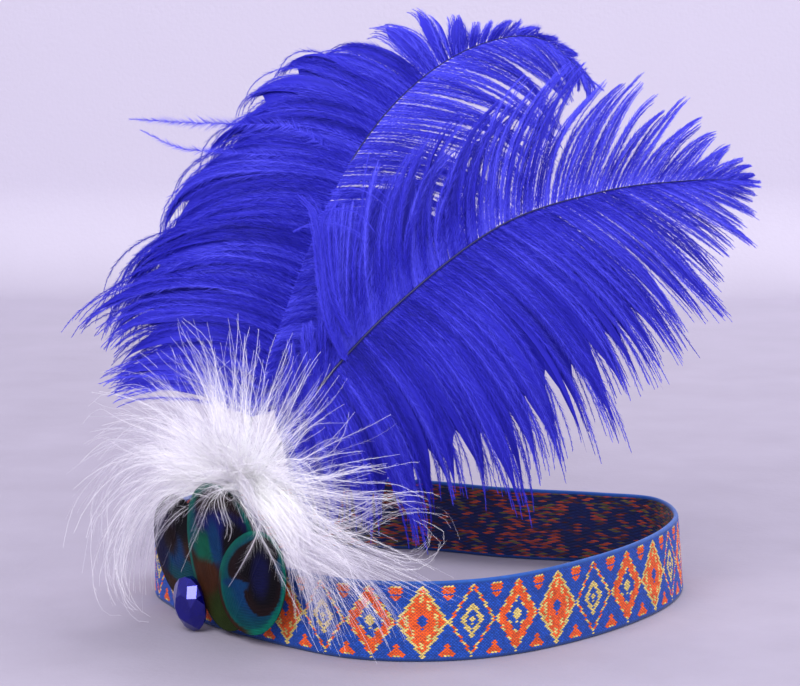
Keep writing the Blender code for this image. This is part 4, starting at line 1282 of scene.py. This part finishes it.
def build_reverse(thread, rng):
    """The inner face: streaks of loose thread, mostly over the ground of the chart."""
    column, _, height, up, row_height = stitch_grid(LOOSE_ROWS, LOOSE_COLUMNS)
    along = column / LOOSE_COLUMNS * ROUTE.length
    chart = woven_chart(along / LOOSE_MOTIF, up)
    streak = rng.choice(len(LOOSE_COLOURS), len(along), p=GROUND_SHARES)
    plain = np.where(rng.random(len(along)) < BLUE_SHARE, BLUE, BROWN)
    tint = LOOSE_COLOURS[np.where(chart == BLUE, streak, plain)]
    tint = tint * rng.uniform(*LOOSE_WEAR, (len(along), 1))
    lozenges("band_reverse", along, height, LOOSE_SHARE * ROUTE.length / LOOSE_COLUMNS,
             LOOSE_SHARE * row_height, LOOSE_SLANT, LOOSE_OUT,
             np.repeat(tint[:, None], 5, axis=1), thread)


def build_core(thread, ground):
    """The web under the stitches and the cords along both edges: one closed section, carried round
    the band. The web has the ground colour, a dimmed blue that shows between the stitches as
    painted shade. The cords take their own blue by a smoothstep of the height; the lower cord goes
    only a quarter of the way to it, darker as painted shade."""
    around = np.linspace(0.0, ROUTE.length, CORE_STEPS + 1)[:-1]
    profile = np.array(BAND_PROFILE)
    profile = np.vstack((profile, profile[::-1] * (-1.0, 1.0) + (BAND_HEIGHT, 0.0)))
    points = ROUTE.point(around[:, None], profile[None, :, 0], profile[None, :, 1])
    triangles = grid_triangles(len(around) + 1, len(profile), closed=True)
    triangles = np.mod(triangles, points.size // 3)[:, ::-1]
    # The lower cord goes only a quarter of the way to its blue, darker as painted shade at the
    # bottom
    edge = np.where(profile[:, 0] > BAND_HEIGHT / 2, 1.0, 0.5)
    high = smoothstep(BAND_HEIGHT - CORD_START, BAND_HEIGHT - CORD_END, profile[:, 0])
    low = smoothstep(CORD_START, CORD_END, profile[:, 0])
    tint = ground + (CORD_BLUE - ground) * np.maximum(high, 0.5 * low)[:, None] * edge[:, None]
    make_piece("band_core", points, triangles, thread,
               {"thread": np.tile(tint, (len(around), 1))})


class HEADBAND_OT_band(bpy.types.Operator):
    """Make the woven elastic band: a core, raised stitches in diamonds outside, streaks of loose
    threads inside and a cord of blue thread along both edges"""
    bl_idname = "headband.band"
    bl_label = "Band"

    def execute(self, context):
        settings = context.scene.headband_band
        rng = np.random.default_rng(31)
        thread = woven_material()
        colours = np.array((settings.blue, settings.orange, settings.yellow))
        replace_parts(build_weave(thread, colours, rng), "band")
        build_reverse(thread, rng)
        # The web's ground is the blue dimmed to about a third, as painted shade between the
        # stitches
        build_core(thread, 0.35 * colours[BLUE])
        return {"FINISHED"}


# Petals: rings and sides, which rings the back has, and the relief of the front
PETAL_RINGS = 44
PETAL_SIDES = 160
BACK_RINGS = 8
DOME_HEIGHT = 0.75
EDGE_ROUNDING = 0.15
RIDGE_HEIGHT = 0.05
RIDGE_SPACING = 0.8
SHAFT_HEIGHT = 0.12
SHAFT_WIDTH = 0.35


def fan_seat(layer, height):
    """How far out of the band a layer of the fan starts, at a height."""
    seat = SEAT_GAP + PAD_THICK + LAYER_GAP + layer * (PETAL_THICK + LAYER_GAP)
    return seat + FAN_LEAN * (height - FAN_FOOT)


def oval_field(across, up, middle, half, tilt):
    """One at the edge of a tilted oval, nought at its middle."""
    angle = math.radians(tilt)
    a = across - middle[0]
    b = up - middle[1]
    turned_a = a * math.cos(angle) + b * math.sin(angle)
    turned_b = -a * math.sin(angle) + b * math.cos(angle)
    return np.hypot(turned_a / half[0], turned_b / half[1])


def paint_over(base, mask, colour):
    """Blend a colour over a field of colours where the mask is one."""
    return base + (np.asarray(colour) - base) * mask[:, None]


PETAL_COLOURS = {
    "brown": (0.034, 0.012, 0.004),
    "red_brown": (0.048, 0.015, 0.005),
    "heart": (0.011, 0.004, 0.005),
    "black": (0.0015, 0.001, 0.003),
    "green": (0.0, 0.105, 0.085),
    "bright_green": (0.001, 0.15, 0.105),
    "leaf": (0.001, 0.095, 0.055),
    "teal": (0.001, 0.060, 0.085),
    "blue": (0.002, 0.036, 0.125),
    "navy": (0.003, 0.004, 0.045),
    "night": (0.006, 0.010, 0.110),
    "purple": (0.016, 0.008, 0.050),
    "olive": (0.020, 0.034, 0.006),
}
# Eyes of the petals, from the lowest layer to the highest: middle, half sizes, tilt, softness and
# colour of an oval. Places run from -1 to 1 over the petal as it is seen upright.
PETAL_OVALS = {
    "petal_left": ("brown", (
        (0.10, 0.55, 0.90, 0.60, 0.0, 0.30, "black"),
        (-0.45, 0.10, 0.55, 0.60, 10.0, 0.25, "purple"),
        (0.10, -0.42, 0.75, 0.26, -12.0, 0.20, "teal"),
        (-0.55, -0.10, 0.30, 0.42, 10.0, 0.40, "navy"),
        (0.05, -0.12, 0.34, 0.30, 0.0, 0.40, "blue"),
        (-0.10, 0.12, 0.30, 0.30, 0.0, 0.35, "heart"),
    )),
    "petal_centre": ("brown", (
        (0.25, -0.05, 0.70, 0.50, 0.0, 0.30, "heart"),
        (0.10, -0.80, 0.70, 0.45, 0.0, 0.35, "olive"),
        (0.0, 0.62, 1.02, 0.52, 0.0, 0.10, "green"),
        (-0.10, 0.35, 0.90, 0.42, 0.0, 0.15, "teal"),
        (-0.05, 0.93, 0.45, 0.12, 0.0, 0.20, "bright_green"),
        (0.12, 0.50, 0.70, 0.44, 0.0, 0.08, "navy"),
        (0.10, 0.70, 0.62, 0.24, 0.0, 0.12, "heart"),
        (0.12, 0.42, 0.50, 0.22, 0.0, 0.40, "night"),
        (0.45, 0.15, 0.34, 0.40, 0.0, 0.25, "black"),
        (-0.42, 0.14, 0.30, 0.20, 12.0, 0.42, "leaf"),
        (-0.08, 0.20, 0.16, 0.30, 0.0, 0.35, "blue"),
        (-0.50, -0.25, 0.42, 0.22, 0.0, 0.30, "red_brown"),
    )),
    "petal_right": ("green", (
        (0.04, 0.0, 0.88, 0.90, 0.0, 0.12, "teal"),
        (0.16, 0.06, 0.72, 0.74, 0.0, 0.25, "blue"),
        (0.08, 0.40, 0.77, 0.44, 12.0, 0.04, "heart"),
        (0.34, -0.16, 0.54, 0.50, 0.0, 0.04, "heart"),
        (0.20, 0.40, 0.62, 0.36, 12.0, 0.25, "black"),
        (0.40, -0.08, 0.44, 0.42, 0.0, 0.25, "black"),
        (0.30, 0.12, 0.26, 0.40, 0.0, 0.50, "navy"),
        (-0.44, -0.01, 0.40, 0.09, -8.0, 0.25, "blue"),
    )),
}
# Rims: distance from the middle where it starts, its direction and half its spread in degrees
PETAL_RIMS = {
    "petal_left": ((0.93, 180.0, 180.0, "black"),),
    "petal_centre": ((0.90, 150.0, 50.0, "green"), (0.92, 20.0, 30.0, "green")),
    "petal_right": ((0.91, 222.0, 52.0, "brown"), (0.95, 20.0, 80.0, "bright_green"),
                    (0.88, 290.0, 30.0, "bright_green")),
}


def petal_paint(name, across, up):
    """Colours of a petal: soft ovals laid over each other, then parts of its rim."""
    base, ovals = PETAL_OVALS[name]
    colours = np.tile(np.array(PETAL_COLOURS[base]), (len(across), 1))
    for a, b, half_a, half_b, tilt, soft, colour in ovals:
        field = oval_field(across, up, (a, b), (half_a, half_b), tilt)
        mask = 1.0 - smoothstep(1.0 - soft, 1.0 + soft, field)
        colours = paint_over(colours, mask, PETAL_COLOURS[colour])
    edge = np.hypot(across, up)
    turn = np.degrees(np.arctan2(up, across))
    for start, centre, half, colour in PETAL_RIMS[name]:
        gap = np.abs(np.mod(turn - centre + 180.0, 360.0) - 180.0)
        mask = smoothstep(start - 0.03, start + 0.03, edge)
        mask = mask * (1.0 - smoothstep(half - 12.0, half + 12.0, gap))
        colours = paint_over(colours, mask, PETAL_COLOURS[colour])
    return colours


def petal_shape(along, height, half_length, half_width, tilt, taper, layer):
    """A domed petal in rings about its middle. The front rises by a dome of 1 - r^4 and by fine
    ridges along the barbs, the back is the source's own, and a rounded edge joins them."""
    turn = np.arange(PETAL_SIDES) * 2 * math.pi / PETAL_SIDES
    radius = np.sqrt(np.linspace(0.0, 1.0, PETAL_RINGS + 1))[1:]
    tilt = math.radians(tilt)
    side = half_width * radius[:, None] * np.cos(turn) * (1.0 + taper * np.sin(turn))
    length = half_length * radius[:, None] * np.sin(turn)
    upright = turn + tilt
    across = radius[:, None] * np.cos(upright)
    up = radius[:, None] * np.sin(upright)
    place_along = along + side * math.cos(tilt) - length * math.sin(tilt)
    place_up = height + side * math.sin(tilt) + length * math.cos(tilt)
    barb = length * 0.62 - np.abs(side) * 0.78
    ridge = RIDGE_HEIGHT * np.sin(2 * math.pi * barb / RIDGE_SPACING)
    shaft = SHAFT_HEIGHT * np.exp(-(side / SHAFT_WIDTH) ** 2)
    dome = DOME_HEIGHT * (1.0 - radius[:, None] ** 4)
    dome = dome + (ridge + shaft) * (1.0 - radius[:, None] ** 12)
    seat = fan_seat(layer, place_up)
    front = ROUTE.point(place_along, place_up, seat + PETAL_THICK - EDGE_ROUNDING + dome)
    back = ROUTE.point(*(rows[::BACK_RINGS] for rows in (place_along, place_up, seat)))
    return front, back, across, up, barb


def petal_material():
    """The petals' own painted colours, dimmed by fine streaks along the barbs and by a noise."""
    eyed, graph, shader = new_material("petal_eye", Roughness=0.60, Specular_IOR_Level=0.10)
    wave = graph.math("SINE", graph.math("MULTIPLY", graph.read("barb"), 13.0))
    streak = graph.math("MULTIPLY_ADD", graph.noise(260.0, 3.0), 0.7, 0.48)
    streak = graph.math("MULTIPLY_ADD", wave, 0.14, streak)
    graph.feed(shader.inputs["Base Color"], graph.dim(graph.read("eye", colour=True), streak))
    bump(graph, shader, wave, 0.00006, 0.6)
    return eyed


def build_petal(material, name, along, height, *form):
    """One petal as a piece: its front, its rounded edge and its back, closed at both middles. The
    paint strays a little along the barbs, by two sines."""
    front, back, across, up, barb = petal_shape(along, height, *form)
    seat = fan_seat(form[-1], height)
    middle = ROUTE.point(along, height, seat + PETAL_THICK + DOME_HEIGHT - EDGE_ROUNDING)
    hub = ROUTE.point(along, height, seat)
    points = np.vstack((middle, front.reshape(-1, 3), back[::-1].reshape(-1, 3), hub))
    total = len(front) + len(back)
    last_ring = 1 + (total - 1) * PETAL_SIDES
    triangles = np.concatenate((
        grid_triangles(total, PETAL_SIDES, first=1, closed=True),
        cap_triangles(0, 1, PETAL_SIDES)[:, (0, 2, 1)],
        cap_triangles(len(points) - 1, last_ring, PETAL_SIDES)))[:, ::-1]
    stray = 0.016 * np.sin(5.3 * barb) + 0.012 * np.sin(12.1 * barb + 2.0)
    behind = back.size // 3 + 1
    paint = np.vstack((petal_paint(name, np.zeros(1), np.zeros(1)),
                       petal_paint(name, across.ravel(), (up + stray).ravel()),
                       np.tile(PETAL_COLOURS["brown"], (behind, 1))))
    ridge = np.concatenate(([0.0], barb.ravel(), np.zeros(behind)))
    return make_piece(name + "_eye", points, triangles, material,
                      {"eye": paint, "barb": ridge})


def finish_node(name, material):
    """Give a node of the source its own material."""
    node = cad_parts[name]
    node.data.materials.clear()
    node.data.materials.append(material)


class HEADBAND_OT_ornament(bpy.types.Operator):
    """Make the three eyed petals, and finish the felt pad and the gem"""
    bl_idname = "headband.ornament"
    bl_label = "Petals, gem and pad"

    def execute(self, context):
        settings = context.scene.headband_ornament
        eyed = petal_material()
        for name, *form in PETALS:
            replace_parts(build_petal(eyed, name, *form), name)

        felt, graph, shader = new_material("felt_fibres", Roughness=0.95, Sheen_Weight=0.1,
                                           Sheen_Roughness=0.6, Specular_IOR_Level=0.2)
        grain = use_group(graph, "fine_grain", Scale=1500.0, Coarse_Scale=300.0)
        graph.feed(shader.inputs["Base Color"], graph.mix(
            grain.outputs["Mask"], opaque(settings.felt), opaque(settings.felt, 3.0)))
        bump(graph, shader, grain.outputs["Height"], 0.0004)
        finish_node("backing_pad", felt)

        glass, graph, shader = new_material("faceted_blue", Roughness=0.05, Metallic=0.7,
                                            IOR=1.45, Coat_Weight=0.7, Coat_Roughness=0.02)
        grain = use_group(graph, "fine_grain", Scale=500.0, Coarse_Scale=160.0)
        graph.feed(shader.inputs["Base Color"], graph.mix(
            grain.outputs["Mask"], opaque(settings.gem), opaque(settings.gem, 1.8)))
        finish_node("gem", glass)
        return {"FINISHED"}


CAMERA_PLACE = (-5.0, -932.0, 224.45)
CAMERA_TILT = 81.442
CAMERA_LENS = 135.0
SENSOR_WIDTH = 36.0
FLOOR_FRONT = -2200.0
FLOOR_STEPS = 12
WALL_DISTANCE = 780.0
WALL_BEND = 60.0
BEND_STEPS = 16
WALL_TOP = 1900.0
STAGE_HALF_WIDTH = 2600.0
STAGE_COLUMNS = 3
SKY = (0.93, 0.92, 1.0)
SKY_STRENGTH = 0.75


def stage_sheet():
    """Points of the floor and its backdrop, a few equal lines from the front to the top with a
    quarter circle where they bend, and how far each point has the wall's colour, from 0 to 1."""
    turn = np.linspace(0.0, 0.5 * math.pi, BEND_STEPS)
    bend_start = WALL_DISTANCE - WALL_BEND
    profile_y = np.concatenate((np.linspace(FLOOR_FRONT, bend_start - 1.0, FLOOR_STEPS),
                                bend_start + WALL_BEND * np.sin(turn), (WALL_DISTANCE,)))
    profile_z = np.concatenate((np.zeros(FLOOR_STEPS), WALL_BEND - WALL_BEND * np.cos(turn),
                                (WALL_TOP,)))
    across = np.linspace(-STAGE_HALF_WIDTH, STAGE_HALF_WIDTH, STAGE_COLUMNS)
    points = np.stack(np.broadcast_arrays(across[:, None], profile_y, profile_z), axis=-1)
    rise = np.concatenate((np.zeros(FLOOR_STEPS - 2), (0.10, 0.30),
                           0.30 + 0.55 * smoothstep(0.0, 1.0, turn / turn[-1]), (1.0,)))
    return points, np.tile(rise, STAGE_COLUMNS)


def stage_material(settings):
    """Matt paper from the floor's colour to the wall's, with a fine grain. Its reverse lets a view
    from behind through."""
    paper, graph, shader = new_material("stage_paper", Roughness=0.85)
    grain = use_group(graph, "fine_grain", Scale=420.0, Coarse_Scale=28.0)
    floor = graph.mix(grain.outputs["Mask"], opaque(settings.floor, 0.88),
                      opaque(settings.floor, 1.10))
    graph.feed(shader.inputs["Base Color"],
               graph.mix(graph.read("rise"), floor, opaque(settings.wall)))
    bump(graph, shader, grain.outputs["Height"], 0.0004, 0.4)
    reverse = graph.add("ShaderNodeNewGeometry").outputs["Backfacing"]
    see_through = graph.add("ShaderNodeMixShader", Fac=reverse)
    graph.feed(see_through.inputs[1], shader.outputs[0])
    graph.feed(see_through.inputs[2], graph.add("ShaderNodeBsdfTransparent").outputs[0])
    ending = paper.node_tree.nodes["Material Output"]
    graph.feed(ending.inputs["Surface"], see_through.outputs[0])
    return paper


class HEADBAND_OT_stage(bpy.types.Operator):
    """Make the floor with its backdrop, the lights and the camera"""
    bl_idname = "headband.stage"
    bl_label = "Stage"

    def execute(self, context):
        settings = context.scene.headband_stage
        scene = context.scene
        points, rise = stage_sheet()
        mesh = bpy.data.meshes.new("floor")
        triangles = grid_triangles(*points.shape[:2])[:, ::-1]
        mesh.from_pydata(((points.reshape(-1, 3) + SHIFT) * MM).tolist(), [], triangles.tolist())
        mesh.attributes.new("rise", "FLOAT", "POINT").data.foreach_set(
            "value", rise.astype(np.float32))
        mesh.shade_smooth()
        mesh.materials.append(stage_material(settings))
        floor = bpy.data.objects.new("floor", mesh)
        scene.collection.objects.link(floor)

        # Name, power, size, place and the point that each light faces, in watts and metres
        for name, power, size, place, aim in (
                ("key", settings.key, 0.9, (-0.55, -0.95, 1.05), (0.0, 0.0, 0.08)),
                ("front", settings.front, 0.19, (0.08, -0.85, 0.375), (-0.07, -0.03, 0.03)),
                ("fill", settings.fill, 1.2, (1.2, -0.8, 0.7), (0.0, 0.0, 0.08)),
                ("back", settings.back, 0.8, (0.35, 0.55, 1.1), (0.0, 0.1, 0.08))):
            light = bpy.data.lights.new(name, "AREA")
            light.energy = power
            light.size = size
            lamp = bpy.data.objects.new(name, light)
            scene.collection.objects.link(lamp)
            way = unit(np.array(aim) - place)
            lamp.location = place
            lamp.rotation_euler = (math.acos(-way[2]), 0.0, math.atan2(-way[0], way[1]))
        world = bpy.data.worlds.new("studio")
        scene.world = world
        world.use_nodes = True
        sky = world.node_tree.nodes["Background"]
        sky.inputs["Color"].default_value = opaque(SKY)
        sky.inputs["Strength"].default_value = SKY_STRENGTH

        lens = bpy.data.cameras.new("camera")
        lens.lens = CAMERA_LENS
        lens.sensor_width = SENSOR_WIDTH
        lens.clip_start = 0.01
        lens.clip_end = 20.0
        camera = bpy.data.objects.new("camera", lens)
        camera.location = (np.array(CAMERA_PLACE) + SHIFT) * MM
        camera.rotation_euler = (math.radians(CAMERA_TILT), 0.0, 0.0)
        scene.collection.objects.link(camera)
        scene.camera = camera
        scene.view_settings.view_transform = "Standard"
        return {"FINISHED"}


class HEADBAND_PT_panel(bpy.types.Panel):
    """Lists the headband's operators"""
    bl_idname = "HEADBAND_PT_panel"
    bl_label = "Feather headband"
    bl_space_type = "VIEW_3D"
    bl_region_type = "UI"
    bl_category = "Headband"

    def draw(self, context):
        for operator in OPERATORS:
            self.layout.operator(operator.bl_idname)


SETTINGS = (
    ("headband_plumes", PlumeSettings),
    ("headband_marabou", MarabouSettings),
    ("headband_band", BandSettings),
    ("headband_ornament", OrnamentSettings),
    ("headband_stage", StageSettings),
)
OPERATORS = (HEADBAND_OT_plumes, HEADBAND_OT_marabou, HEADBAND_OT_band, HEADBAND_OT_ornament,
             HEADBAND_OT_stage)


def register():
    """Make the classes and the settings known."""
    for label, group in SETTINGS:
        bpy.utils.register_class(group)
        setattr(bpy.types.Scene, label, PointerProperty(type=group))
    for item in (*OPERATORS, HEADBAND_PT_panel):
        bpy.utils.register_class(item)


def unregister():
    """Take the classes and the settings away again."""
    for item in (HEADBAND_PT_panel, *reversed(OPERATORS)):
        bpy.utils.unregister_class(item)
    for label, group in reversed(SETTINGS):
        delattr(bpy.types.Scene, label)
        bpy.utils.unregister_class(group)


def main():
    """Dress the frame."""
    register()
    bpy.ops.headband.stage()
    bpy.ops.headband.plumes()
    bpy.ops.headband.marabou()
    bpy.ops.headband.band()
    bpy.ops.headband.ornament()
    bpy.context.view_layer.update()


if __name__ == "__main__":
    main()
